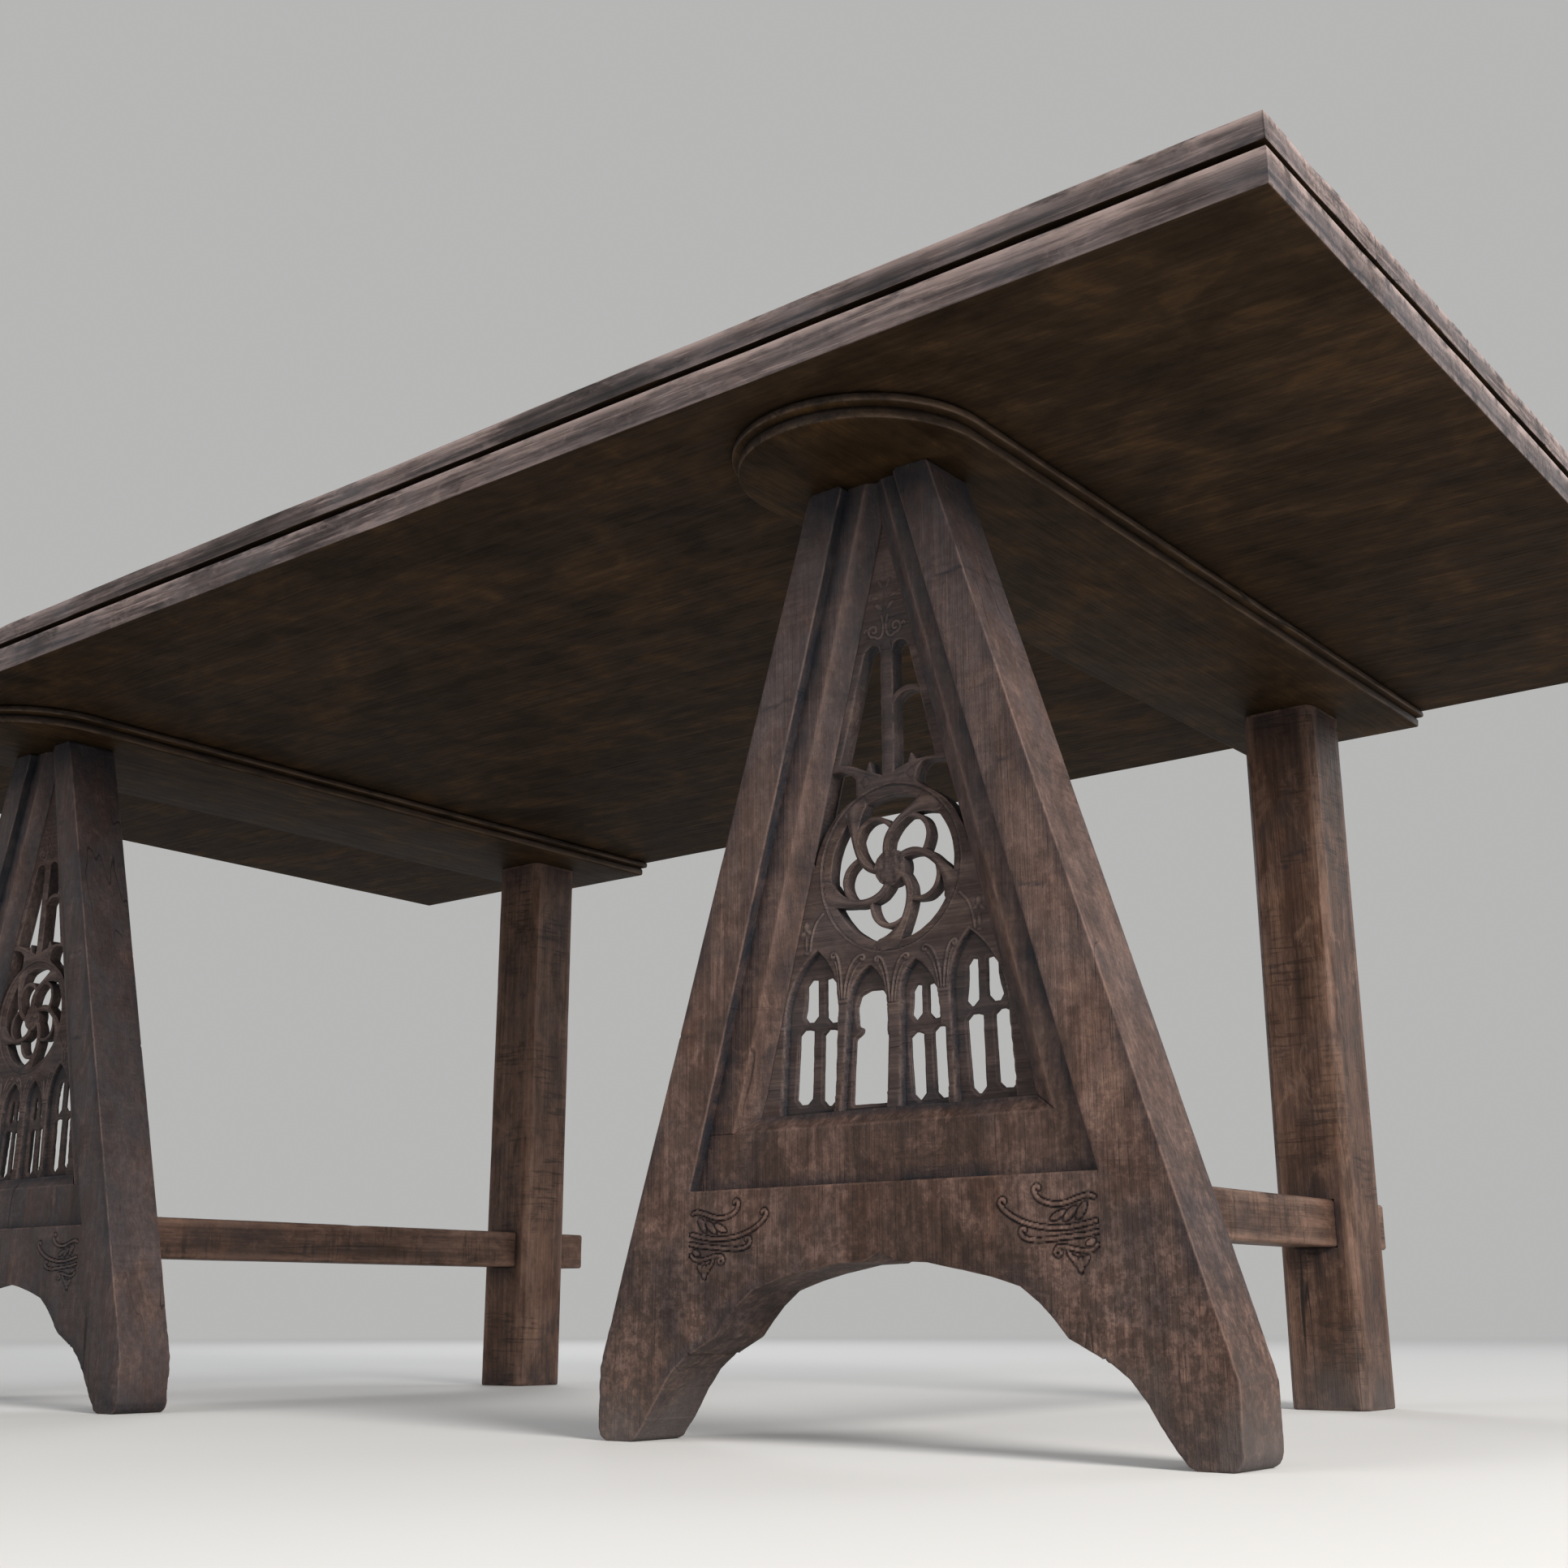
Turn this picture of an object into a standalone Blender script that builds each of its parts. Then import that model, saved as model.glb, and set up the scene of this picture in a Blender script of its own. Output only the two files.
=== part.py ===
"""Communion table: a heavy plank top with a shadow groove, two flat bearers, and
two trestles, each with a pierced gothic A-frame in front, a square post behind
and a low stretcher between them. All sizes are in metres, +Z up, front is -Y.
The floor is z = 0 and the top is centred on the origin."""

import math

import bmesh
import bpy

# ---------------------------------------------------------------- dimensions
UNDERSIDE = 0.7466  # floor to the underside of the top; the A-frame is set out in fractions of it
GAP = 0.0003  # joint clearance
OVERRUN = 0.01  # how far a cutter runs past the face it cuts
EMBED = 0.02  # how far a tenon is sunk in its own piece before they are joined

TOP_HEIGHT = 0.800
TOP_LENGTH = 1.975
TOP_DEPTH = 1.078
TOP_EASE = 0.0015
GROOVE_LOW = 0.7740
GROOVE_HIGH = 0.7790
GROOVE_DEPTH = 0.009
GROOVE_EASE = 0.0005

# Trestle pieces are drawn with x = 0 on the centre line of the trestle
# and y = 0 on the front face of the A-frame, then moved into place.
TRESTLE_X = {"left": -0.6007, "right": 0.5805}
FRONT_Y = -0.3908

BEARER_HALF = 0.1059
BEARER_LOW = 0.7264
BEARER_STEP = 0.7374
BEARER_BACK = 0.9247
BEARER_NOSE_STEPS = 28
LEG_TOP = BEARER_LOW - GAP
TENON_TOP = BEARER_LOW + 0.0130

POST_HALF = 0.0400
POST_FRONT = 0.7604
POST_BACK = 0.8394
POST_CHAMFER = 0.0060
POST_TENON_X = (-0.027, 0.027)
POST_TENON_Y = (0.773, 0.827)

STRETCHER_HALF = 0.0219
STRETCHER_LOW = 0.1565
STRETCHER_HIGH = 0.2032
STRETCHER_FRONT = 0.0390  # its front end is housed in the foot rail
STRETCHER_BACK = 0.8925
STRETCHER_CHAMFER = 0.0022

FRAME_THICK = 0.0586
LEG_TENON_X = (0.0305, 0.0490)  # on the right leg; mirrored on the left
LEG_TENON_Y = (0.0160, 0.0426)
RAIL_TENON_LENGTH = 0.020
RAIL_TENON_Y = (0.0200, 0.0386)
RAIL_TENON_Z = (0.095, 0.160)

# ---- A-frame elevation, in fractions of UNDERSIDE
JOINT = GAP / UNDERSIDE
FOOT_HALF = 0.3575
FOOT_STRAIGHT = 0.070  # top of the upright part of the foot
TOE_WIDTH, TOE_HEIGHT = 0.010, 0.012  # chamfer at the outer bottom corner of the foot
FRAME_TOP_HALF = 0.0756
FRAME_TOP = 0.9729
RECESS_FOOT = 0.245  # recess between the legs: its foot, half width there, and taper
RECESS_HALF = 0.236
RECESS_TAPER = 0.2805
BORDER_HIGH = 0.302  # top of the flat border on the foot rail
FIELD_FOOT = 0.317  # carved field inside the bevels: the same three values
FIELD_HALF = 0.163
FIELD_TAPER = 0.266
BEVEL = 0.021  # width of the bevel round the field
PANEL_SIDE_GAP = 0.001  # panel edge to leg, beyond the joint clearance
PANEL_TOP = FRAME_TOP - 0.012

# ---- Depths behind the A-frame's front face, in fractions of UNDERSIDE
THICK = FRAME_THICK / UNDERSIDE
BORDER_Y = 0.013
BEAD_LIP_Y = 0.0275
PANEL_FRONT = 0.0292
PANEL_BACK = 0.0496

# Half outline of the arch under the foot rail, floor to centre notch: (x, z), fractions
ARCH = [
    (0.315, 0.0), (0.307, 0.003), (0.293, 0.020), (0.273, 0.050), (0.257, 0.070),
    (0.240, 0.083), (0.220, 0.093), (0.200, 0.103), (0.187, 0.118), (0.172, 0.133),
    (0.153, 0.147), (0.123, 0.156), (0.093, 0.163), (0.050, 0.170), (0.018, 0.171),
    (0.0, 0.179),
]  # fmt: skip

# Base colour and roughness of each wood
WOODS = {
    "oak_top": ((0.145, 0.100, 0.085), 0.72),
    "oak_core": ((0.030, 0.022, 0.018), 0.85),
    "oak_bearer": ((0.060, 0.038, 0.026), 0.70),
    "oak_frame": ((0.190, 0.115, 0.085), 0.66),
    "oak_tracery": ((0.120, 0.078, 0.062), 0.74),
    "oak_post": ((0.170, 0.102, 0.072), 0.64),
}


# ------------------------------------------------------------- scene and wood
def clear():
    for obj in list(bpy.data.objects):
        bpy.data.objects.remove(obj, do_unlink=True)
    for mesh in list(bpy.data.meshes):
        bpy.data.meshes.remove(mesh)


def wood(name):
    found = bpy.data.materials.get(name)
    if found:
        return found
    colour, roughness = WOODS[name]
    made = bpy.data.materials.new(name)
    made.use_nodes = True
    shader = made.node_tree.nodes["Principled BSDF"]
    shader.inputs["Base Color"].default_value = (*colour, 1.0)
    shader.inputs["Roughness"].default_value = roughness
    shader.inputs["Metallic"].default_value = 0.0
    made.diffuse_color = (*colour, 1.0)
    return made


def finish(obj, wood_name):
    """Gives a piece its wood and flat shading."""
    obj.data.materials.clear()
    obj.data.materials.append(wood(wood_name))
    for polygon in obj.data.polygons:
        polygon.use_smooth = False
        polygon.material_index = 0


def place(obj, side, wood_name):
    """Moves a trestle piece's own points to its trestle, and finishes it."""
    for vertex in obj.data.vertices:
        vertex.co.x += TRESTLE_X[side]
        vertex.co.y += FRONT_Y
    finish(obj, wood_name)


# -------------------------------------------------------------------- solids
def link(name, mesh, helper):
    obj = bpy.data.objects.new(name, mesh)
    bpy.context.scene.collection.objects.link(obj)
    if helper:
        obj.hide_render = True
        obj.display_type = "WIRE"
    return obj


def loft(name, sections, helper=False):
    """A closed body through sections that all have the same number of points."""
    count = len(sections[0])
    verts = [point for section in sections for point in section]
    faces = [tuple(range(count))]
    for k in range(len(sections) - 1):
        low, high = k * count, (k + 1) * count
        for i in range(count):
            j = (i + 1) % count
            faces.append((low + i, low + j, high + j, high + i))
    last = (len(sections) - 1) * count
    faces.append(tuple(last + i for i in reversed(range(count))))

    mesh = bpy.data.meshes.new(name)
    mesh.from_pydata(verts, [], faces)
    work = bmesh.new()
    work.from_mesh(mesh)
    bmesh.ops.remove_doubles(work, verts=work.verts, dist=1e-7)
    bmesh.ops.recalc_face_normals(work, faces=work.faces)
    work.to_mesh(mesh)
    work.free()
    mesh.update()
    return link(name, mesh, helper)


def prism(name, outline, front, back, helper=False):
    """An outline in the upright x-z plane, given depth along y."""
    return loft(name, [[(x, y, z) for x, z in outline] for y in (front, back)], helper)


def slab(name, outline, low, high, helper=False):
    """An outline in the level x-y plane, given height."""
    return loft(name, [[(x, y, z) for x, y in outline] for z in (low, high)], helper)


def block(x_span, y_span, z_span):
    """A rectangular helper for tenons and mortises."""
    x0, x1 = sorted(x_span)
    y0, y1 = y_span
    return slab("block", [(x0, y0), (x1, y0), (x1, y1), (x0, y1)], *z_span, helper=True)


def gather(parts):
    """Several separate closed shapes as one helper for a single Boolean."""
    work = bmesh.new()
    for part in parts:
        work.from_mesh(part.data)
        bpy.data.objects.remove(part, do_unlink=True)
    mesh = bpy.data.meshes.new("cutters")
    work.to_mesh(mesh)
    work.free()
    return link("cutters", mesh, helper=True)


def combine(target, other, operation):
    """Joins or cuts target with other, which is then removed."""
    step = target.modifiers.new(operation.lower(), "BOOLEAN")
    step.operation = operation
    step.solver = "EXACT"
    step.object = other
    graph = bpy.context.evaluated_depsgraph_get()
    graph.update()
    result = bpy.data.meshes.new_from_object(target.evaluated_get(graph))
    target.modifiers.remove(step)
    old = target.data
    target.data = result
    bpy.data.meshes.remove(old)
    bpy.data.objects.remove(other, do_unlink=True)
    # weld the slivers the Boolean leaves
    work = bmesh.new()
    work.from_mesh(target.data)
    bmesh.ops.remove_doubles(work, verts=work.verts, dist=2e-6)
    bmesh.ops.dissolve_degenerate(work, edges=work.edges, dist=2e-6)
    work.to_mesh(target.data)
    work.free()


# ------------------------------------------------------------------ outlines
def metres(points):
    return [(x * UNDERSIDE, z * UNDERSIDE) for x, z in points]


def mirrored(points):
    return [(-x, z) for x, z in reversed(points)]


def grown(span):
    """A span widened by the joint clearance at both ends."""
    return (span[0] - GAP, span[1] + GAP)


def handed(span, hand):
    """An x span on the right (hand 1) or mirrored to the left (hand -1)."""
    return [hand * x for x in span]


def chamfered(half, low, high, chamfer):
    """A rectangle from -half to half and low to high, with its corners cut off."""
    flat = half - chamfer
    return [
        (-flat, low), (flat, low), (half, low + chamfer), (half, high - chamfer),
        (flat, high), (-flat, high), (-half, high - chamfer), (-half, low + chamfer),
    ]  # fmt: skip


def bow(start, end, rise, steps):
    """A circular arc whose middle stands off by rise, to the left of start to end."""
    chord = math.dist(start, end)
    radius = (chord * chord / 4 + rise * rise) / (2 * rise)
    half_angle = math.asin(chord / 2 / radius)
    along_x, along_z = (end[0] - start[0]) / chord, (end[1] - start[1]) / chord
    off_x, off_z = -along_z, along_x
    centre_x = (start[0] + end[0]) / 2 - off_x * (radius - rise)
    centre_z = (start[1] + end[1]) / 2 - off_z * (radius - rise)
    points = []
    for i in range(steps + 1):
        angle = -half_angle + 2 * half_angle * i / steps
        along, off = radius * math.sin(angle), radius * math.cos(angle)
        points.append(
            (centre_x + along_x * along + off_x * off, centre_z + along_z * along + off_z * off)
        )
    return points


def ribbon(line, widths):
    """An outline of varying width about a centre line."""
    left, right = [], []
    for i, (x, z) in enumerate(line):
        before = line[max(i - 1, 0)]
        after = line[min(i + 1, len(line) - 1)]
        length = math.dist(before, after)
        shift_x = -(after[1] - before[1]) / length * widths[i] / 2
        shift_z = (after[0] - before[0]) / length * widths[i] / 2
        left.append((x + shift_x, z + shift_z))
        right.append((x - shift_x, z - shift_z))
    return right + left[::-1]


def rounded(points, radius, steps):
    """The outline with each corner replaced by a quadratic curve."""
    result = []
    for i, corner in enumerate(points):
        ends = []
        for neighbour in (points[i - 1], points[(i + 1) % len(points)]):
            length = math.dist(neighbour, corner)
            share = min(radius, length * 0.45) / length
            ends.append([c + (n - c) * share for c, n in zip(corner, neighbour)])
        for k in range(steps + 1):
            t = k / steps
            result.append(
                tuple(
                    (1 - t) ** 2 * start + 2 * t * (1 - t) * middle + t * t * end
                    for start, middle, end in zip(ends[0], corner, ends[1])
                )
            )
    return result


def recess_half(z):
    return RECESS_HALF - RECESS_TAPER * (z - RECESS_FOOT)


def field_half(z):
    return FIELD_HALF - FIELD_TAPER * (z - FIELD_FOOT)


def arch_height(x):
    """Height of the arch under the foot rail at half width x."""
    for (x1, z1), (x0, z0) in zip(ARCH, ARCH[1:]):
        if x0 <= x <= x1:
            return z0 + (z1 - z0) * (x - x0) / (x1 - x0)


# ----------------------------------------------------------------------- top
def make_board(name, low, high, inset, ease, wood_name):
    """A board inset from the edge of the top, with its edges eased."""
    sections = []
    for z, more in ((low, ease), (low + ease, 0.0), (high - ease, 0.0), (high, ease)):
        x, y = TOP_LENGTH / 2 - inset - more, TOP_DEPTH / 2 - inset - more
        sections.append([(-x, -y, z), (x, -y, z), (x, y, z), (-x, y, z)])
    finish(loft(name, sections), wood_name)


def make_top():
    make_board("top_board", GROOVE_HIGH + GAP, TOP_HEIGHT, 0.0, TOP_EASE, "oak_top")
    make_board(
        "groove_strip", GROOVE_LOW + GAP, GROOVE_HIGH, GROOVE_DEPTH, GROOVE_EASE, "oak_core"
    )
    make_board("under_board", UNDERSIDE + GAP, GROOVE_LOW, 0.0, TOP_EASE, "oak_top")


# ------------------------------------------------------------------- bearers
# Edge profile of a bearer, bottom to top: (z, inset from the full outline)
BEARER_EDGE = [
    (BEARER_LOW, 0.0062), (BEARER_LOW + 0.0020, 0.0046),
    (BEARER_STEP - 0.0022, 0.0046), (BEARER_STEP - 0.0008, 0.0034),
    (BEARER_STEP + 0.0010, 0.0006), (BEARER_STEP + 0.0024, 0.0),
    (UNDERSIDE - 0.0018, 0.0), (UNDERSIDE, 0.0012),
]  # fmt: skip


def make_bearer(side):
    """A flat plank, half round in front and square behind, mortised for post and legs."""
    sections = []
    for z, inset in BEARER_EDGE:
        radius = BEARER_HALF - inset
        angles = [math.pi * i / BEARER_NOSE_STEPS for i in range(BEARER_NOSE_STEPS + 1)]
        section = [(-radius * math.cos(a), -radius * math.sin(a), z) for a in angles]
        back = BEARER_BACK - inset
        sections.append(section + [(radius, back, z), (-radius, back, z)])
    plank = loft(f"bearer_{side}", sections)

    z_span = (BEARER_LOW - OVERRUN, TENON_TOP + GAP)
    mortises = [block(grown(POST_TENON_X), grown(POST_TENON_Y), z_span)]
    for hand in (-1, 1):
        mortises.append(block(handed(grown(LEG_TENON_X), hand), grown(LEG_TENON_Y), z_span))
    combine(plank, gather(mortises), "DIFFERENCE")
    place(plank, side, "oak_bearer")


# --------------------------------------------------------- post and stretcher
def make_post(side):
    """The square rear post, tenoned into the bearer and pierced for the stretcher."""
    outline = chamfered(POST_HALF, POST_FRONT, POST_BACK, POST_CHAMFER)
    post = slab(f"rear_post_{side}", outline, 0.0, LEG_TOP)
    tenon = block(POST_TENON_X, POST_TENON_Y, (BEARER_LOW - EMBED, TENON_TOP))
    combine(post, tenon, "UNION")
    hole = block(
        grown((-STRETCHER_HALF, STRETCHER_HALF)),
        (POST_FRONT - OVERRUN, POST_BACK + OVERRUN),
        grown((STRETCHER_LOW, STRETCHER_HIGH)),
    )
    combine(post, hole, "DIFFERENCE")
    place(post, side, "oak_post")


def make_stretcher(side):
    outline = chamfered(STRETCHER_HALF, STRETCHER_LOW, STRETCHER_HIGH, STRETCHER_CHAMFER)
    bar = prism(f"stretcher_{side}", outline, STRETCHER_FRONT, STRETCHER_BACK)
    place(bar, side, "oak_post")


# -------------------------------------------------------------------- A-frame
def leg_name(side, hand):
    """The outer leg of a trestle is the one nearer its end of the table."""
    return "outer" if (hand > 0) == (side == "right") else "inner"


def make_leg(side, hand):
    """One raking leg with its foot; hand is -1 for the left leg and 1 for the right."""
    outline = [
        (FOOT_HALF - TOE_WIDTH, 0.0), (FOOT_HALF, TOE_HEIGHT), (FOOT_HALF, FOOT_STRAIGHT),
        (FRAME_TOP_HALF, FRAME_TOP), (recess_half(FRAME_TOP), FRAME_TOP),
        (RECESS_HALF, RECESS_FOOT), (RECESS_HALF, arch_height(RECESS_HALF)),
    ]  # fmt: skip
    outline += [point for point in reversed(ARCH) if point[0] > RECESS_HALF]
    points = [(hand * x, min(z, LEG_TOP)) for x, z in metres(outline)]
    leg = prism(f"leg_{leg_name(side, hand)}_{side}", points, 0.0, FRAME_THICK)

    tenon = block(handed(LEG_TENON_X, hand), LEG_TENON_Y, (BEARER_LOW - EMBED, TENON_TOP))
    combine(leg, tenon, "UNION")
    inner = RECESS_HALF * UNDERSIDE
    mortise_x = (inner - OVERRUN, inner + RAIL_TENON_LENGTH + GAP)
    mortise = block(handed(mortise_x, hand), grown(RAIL_TENON_Y), grown(RAIL_TENON_Z))
    combine(leg, mortise, "DIFFERENCE")
    place(leg, side, "oak_frame")


def rail_section(z, half, y):
    """A level section of the rail's head, y behind the front face and y before the back."""
    x = half * UNDERSIDE
    front, back = y * UNDERSIDE, (THICK - y) * UNDERSIDE
    z *= UNDERSIDE
    return [(-x, front, z), (x, front, z), (x, back, z), (-x, back, z)]


def make_foot_rail(side):
    """The arched rail between the legs; its recessed head carries the tracery panel."""
    inner = RECESS_HALF - JOINT
    right_half = [(inner, RECESS_FOOT), (inner, arch_height(inner))]
    right_half += [point for point in ARCH if point[0] < inner]
    outline = right_half + mirrored(right_half[:-1])
    rail = prism(f"foot_rail_{side}", metres(outline), 0.0, FRAME_THICK)

    # flat border, recessed front and back; its root is sunk in the rail
    head = [
        rail_section(RECESS_FOOT - 0.02, RECESS_HALF - 0.012, BORDER_Y),
        rail_section(RECESS_FOOT, recess_half(RECESS_FOOT) - 2 * JOINT, BORDER_Y),
        rail_section(BORDER_HIGH, recess_half(BORDER_HIGH) - JOINT, BORDER_Y),
    ]
    combine(rail, loft("head", head, helper=True), "UNION")

    # bevel up to the panel, set just inside the border's faces and rooted in its top
    bevel_half = field_half(BORDER_HIGH) + BEVEL
    bevel_y = BORDER_Y + 0.0004
    bevel = [
        rail_section(BORDER_HIGH - 0.004, bevel_half, bevel_y),
        rail_section(BORDER_HIGH, bevel_half, bevel_y),
        rail_section(FIELD_FOOT, field_half(FIELD_FOOT), BEAD_LIP_Y),
    ]
    combine(rail, loft("bevel", bevel, helper=True), "UNION")

    shoulder = RECESS_HALF * UNDERSIDE
    tenon_x = (shoulder - EMBED, shoulder + RAIL_TENON_LENGTH)
    for hand in (-1, 1):
        combine(rail, block(handed(tenon_x, hand), RAIL_TENON_Y, RAIL_TENON_Z), "UNION")
    housing = block(
        grown((-STRETCHER_HALF, STRETCHER_HALF)),
        (STRETCHER_FRONT - GAP, FRAME_THICK + OVERRUN),
        grown((STRETCHER_LOW, STRETCHER_HIGH)),
    )
    combine(rail, housing, "DIFFERENCE")
    place(rail, side, "oak_frame")


def make_bead(side, hand, face):
    """A flat moulding with a bevelled inner edge, planted between leg and panel.
    face is 'front' or 'back'; the back one mirrors the front one through the frame."""

    def section(z, z_inner):
        """Six points, out to in along the face, then in to out along the panel."""
        x_outer = recess_half(z) - JOINT
        x_bevel = field_half(z) + BEVEL
        x_inner = max(field_half(z_inner), JOINT)
        # beads that meet at the centre line stop part way down the bevel
        drop = (BEAD_LIP_Y - BORDER_Y) * min(1.0, (x_bevel - x_inner) / BEVEL)
        y_panel = PANEL_FRONT - JOINT
        rows = [
            (x_outer, BORDER_Y, z), (x_bevel, BORDER_Y, z), (x_inner, BORDER_Y + drop, z_inner),
            (x_inner, y_panel, z_inner), (x_bevel, y_panel, z), (x_outer, y_panel, z),
        ]  # fmt: skip
        points = []
        for x, y, height in rows:
            depth = y * UNDERSIDE
            if face == "back":
                depth = FRAME_THICK - depth
            points.append((hand * x * UNDERSIDE, depth, height * UNDERSIDE))
        return points

    apex = FIELD_FOOT + FIELD_HALF / FIELD_TAPER
    top = LEG_TOP / UNDERSIDE
    sections = [
        section(BORDER_HIGH + JOINT, FIELD_FOOT + JOINT), section(apex, apex), section(top, top)
    ]  # fmt: skip
    bead = loft(f"{face}_bead_{leg_name(side, hand)}_{side}", sections)
    place(bead, side, "oak_frame")


# ------------------------------------------------------------- tracery panel
# Elevations below are (x, z) in fractions of UNDERSIDE; x runs left to right.
# Depths and reliefs are in metres.
BLIND_DEPTH = 0.0090

# Blind arches: foot left, springing left, apex, springing right, foot right
ARCHES = [
    ((-0.1398, 0.310), (-0.1325, 0.4223), (-0.0916, 0.4825), (-0.0655, 0.4290), (-0.0720, 0.310)),
    ((-0.0650, 0.310), (-0.0541, 0.4180), (-0.0257, 0.4605), (-0.0060, 0.4180), (-0.0075, 0.310)),
    ((0.0080, 0.310), (0.0107, 0.4180), (0.0289, 0.4605), (0.0552, 0.4180), (0.0664, 0.310)),
    ((0.0735, 0.310), (0.0686, 0.4223), (0.0925, 0.4825), (0.1323, 0.4223), (0.1414, 0.310)),
]  # fmt: skip
ARCH_RISE_LEFT, ARCH_RISE_RIGHT, ARCH_STEPS = 0.0075, 0.0065, 5

# Four lights in each arch: left and right at the sill, z of sill and head,
# sideways lean of left and right jamb, upright length at the top of left and right jamb
LIGHTS = [
    [
        (-0.1245, -0.1045, 0.3275, 0.4030, 0.0050, 0.0027, 0.012, 0.004),
        (-0.0905, -0.0750, 0.3250, 0.4010, 0.0020, 0.0045, 0.012, 0.004),
        (-0.1145, -0.0962, 0.4105, 0.4535, 0.0050, 0.0, 0.024, 0.002),
        (-0.0848, -0.0668, 0.4080, 0.4535, 0.0, -0.0060, 0.002, 0.022),
    ],
    [
        (-0.0560, -0.0345, 0.3234, 0.3900, 0.0040, 0.0020, 0.010, 0.004),
        (-0.0245, -0.0085, 0.3234, 0.3900, 0.0, 0.0, 0.010, 0.004),
        (-0.0470, -0.0325, 0.4010, 0.4350, 0.0050, 0.0, 0.018, 0.002),
        (-0.0235, -0.0075, 0.4010, 0.4350, 0.0, -0.0050, 0.002, 0.018),
    ],
    [
        (0.0205, 0.0339, 0.3234, 0.3885, -0.0030, -0.0014, 0.010, 0.004),
        (0.0470, 0.0640, 0.3234, 0.3920, -0.0022, -0.0022, 0.010, 0.004),
        (0.0185, 0.0311, 0.4010, 0.4350, 0.0030, 0.0, 0.018, 0.002),
        (0.0402, 0.0568, 0.4007, 0.4350, 0.0, -0.0070, 0.002, 0.018),
    ],
    [
        (0.0877, 0.1023, 0.3250, 0.4000, -0.0042, -0.0010, 0.012, 0.004),
        (0.1175, 0.1375, 0.3280, 0.4020, -0.0025, -0.0060, 0.010, 0.006),
        (0.0823, 0.0966, 0.4080, 0.4535, 0.0040, 0.0, 0.020, 0.002),
        (0.1084, 0.1266, 0.4110, 0.4535, 0.0, -0.0070, 0.002, 0.022),
    ],
]
LIGHT_RADIUS = 0.0045

# On one trestle the second arch has lost its mullion and transom; only stubs are left
BROKEN_SIDE = "right"
BROKEN_ARCH = 1
BROKEN_OPENING = [
    (-0.0530, 0.3234), (-0.0085, 0.3234), (-0.0050, 0.3890), (-0.0110, 0.3925),
    (-0.0110, 0.3985), (-0.0060, 0.4010), (-0.0075, 0.4220), (-0.0150, 0.4350),
    (-0.0290, 0.4355), (-0.0420, 0.4310), (-0.0465, 0.4190), (-0.0450, 0.4005),
    (-0.0385, 0.3985), (-0.0395, 0.3935), (-0.0490, 0.3880),
]  # fmt: skip
BROKEN_RADIUS = 0.0020

# Upper edges of the openings beside the rose, outer end to inner end, by hand
FLANK_CROWNS = {
    -1: [
        (-0.0700, 0.6668), (-0.0600, 0.6668), (-0.0520, 0.6640), (-0.0450, 0.6600),
        (-0.0405, 0.6555),
    ],
    1: [
        (0.0700, 0.6595), (0.0470, 0.6612), (0.0400, 0.6585), (0.0345, 0.6500),
        (0.0335, 0.6420),
    ],
}  # fmt: skip

# Lancets either side of the central mullion: the head, outer to inner, drawn on the
# right, and the two sills with small broken spikes, inner to outer, by hand
LANCET_HEAD = [
    (0.0290, 0.7850), (0.0258, 0.7920), (0.0205, 0.7955), (0.0135, 0.7955),
    (0.0095, 0.7925), (0.0075, 0.7870),
]  # fmt: skip
LANCET_SILLS = {
    -1: [
        (-0.0075, 0.6545), (-0.0185, 0.6595), (-0.0225, 0.6725), (-0.0270, 0.6625),
        (-0.0400, 0.6680), (-0.0480, 0.6705), (-0.0600, 0.6750),
    ],
    1: [
        (0.0075, 0.6565), (0.0145, 0.6590), (0.0250, 0.6620), (0.0285, 0.6720),
        (0.0345, 0.6640), (0.0480, 0.6645), (0.0585, 0.6640),
    ],
}  # fmt: skip

ROSE_Z = 0.557
ROSE_OPENING = 0.0755
ROSE_OPENING_STEPS = 48
ROSE_HUB = 0.0185
ROSE_HUB_STEPS = 24
ROSE_ARMS = 5
ROSE_START = 51  # degrees, outer end of the first arm
ARM_STEPS = 12
ARM_START, ARM_REACH = 0.012, 0.067  # inner radius and radial length
# Centre line of a small arc: radius, degrees from the outer end of its arm
SMALL_ARC = [
    (0.0545, 21), (0.0585, 7), (0.0590, -6), (0.0545, -18), (0.0470, -28), (0.0395, -37),
]  # fmt: skip
SMALL_ARC_WIDTH = 0.0048
CUSP_ENDS = ((0.0045, 0.7290), (0.0440, 0.7345))
CUSP_RISE, CUSP_STEPS, CUSP_WIDTH = 0.0110, 6, 0.0055

# How far each is set in from the panel's front and back faces
ARM_INSETS = (0.0008, 0.0008)
SMALL_ARC_INSETS = (0.0016, 0.0022)
HUB_INSETS = (-0.0006, 0.0004)
CUSP_INSETS = (0.0012, 0.0030)


def rose_point(radius, degrees):
    angle = math.radians(degrees)
    return (radius * math.cos(angle), ROSE_Z + radius * math.sin(angle))


def rose_circle(radius, steps):
    return [rose_point(radius, 360 * i / steps) for i in range(steps)]


def blind_arch(foot_left, spring_left, apex, spring_right, foot_right):
    left = bow(spring_left, apex, ARCH_RISE_LEFT, ARCH_STEPS)
    right = bow(apex, spring_right, ARCH_RISE_RIGHT, ARCH_STEPS)
    return [foot_left] + left + right[1:] + [foot_right]


def light(left, right, sill, head, lean_left, lean_right, upright_left, upright_right):
    """A small light with rounded corners."""
    head_left, head_right = left + lean_left, right + lean_right
    corners = [
        (left, sill), (right, sill), (head_right, head - upright_right),
        (head_right, head), (head_left, head), (head_left, head - upright_left),
    ]  # fmt: skip
    return rounded(corners, LIGHT_RADIUS, steps=2)


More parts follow.
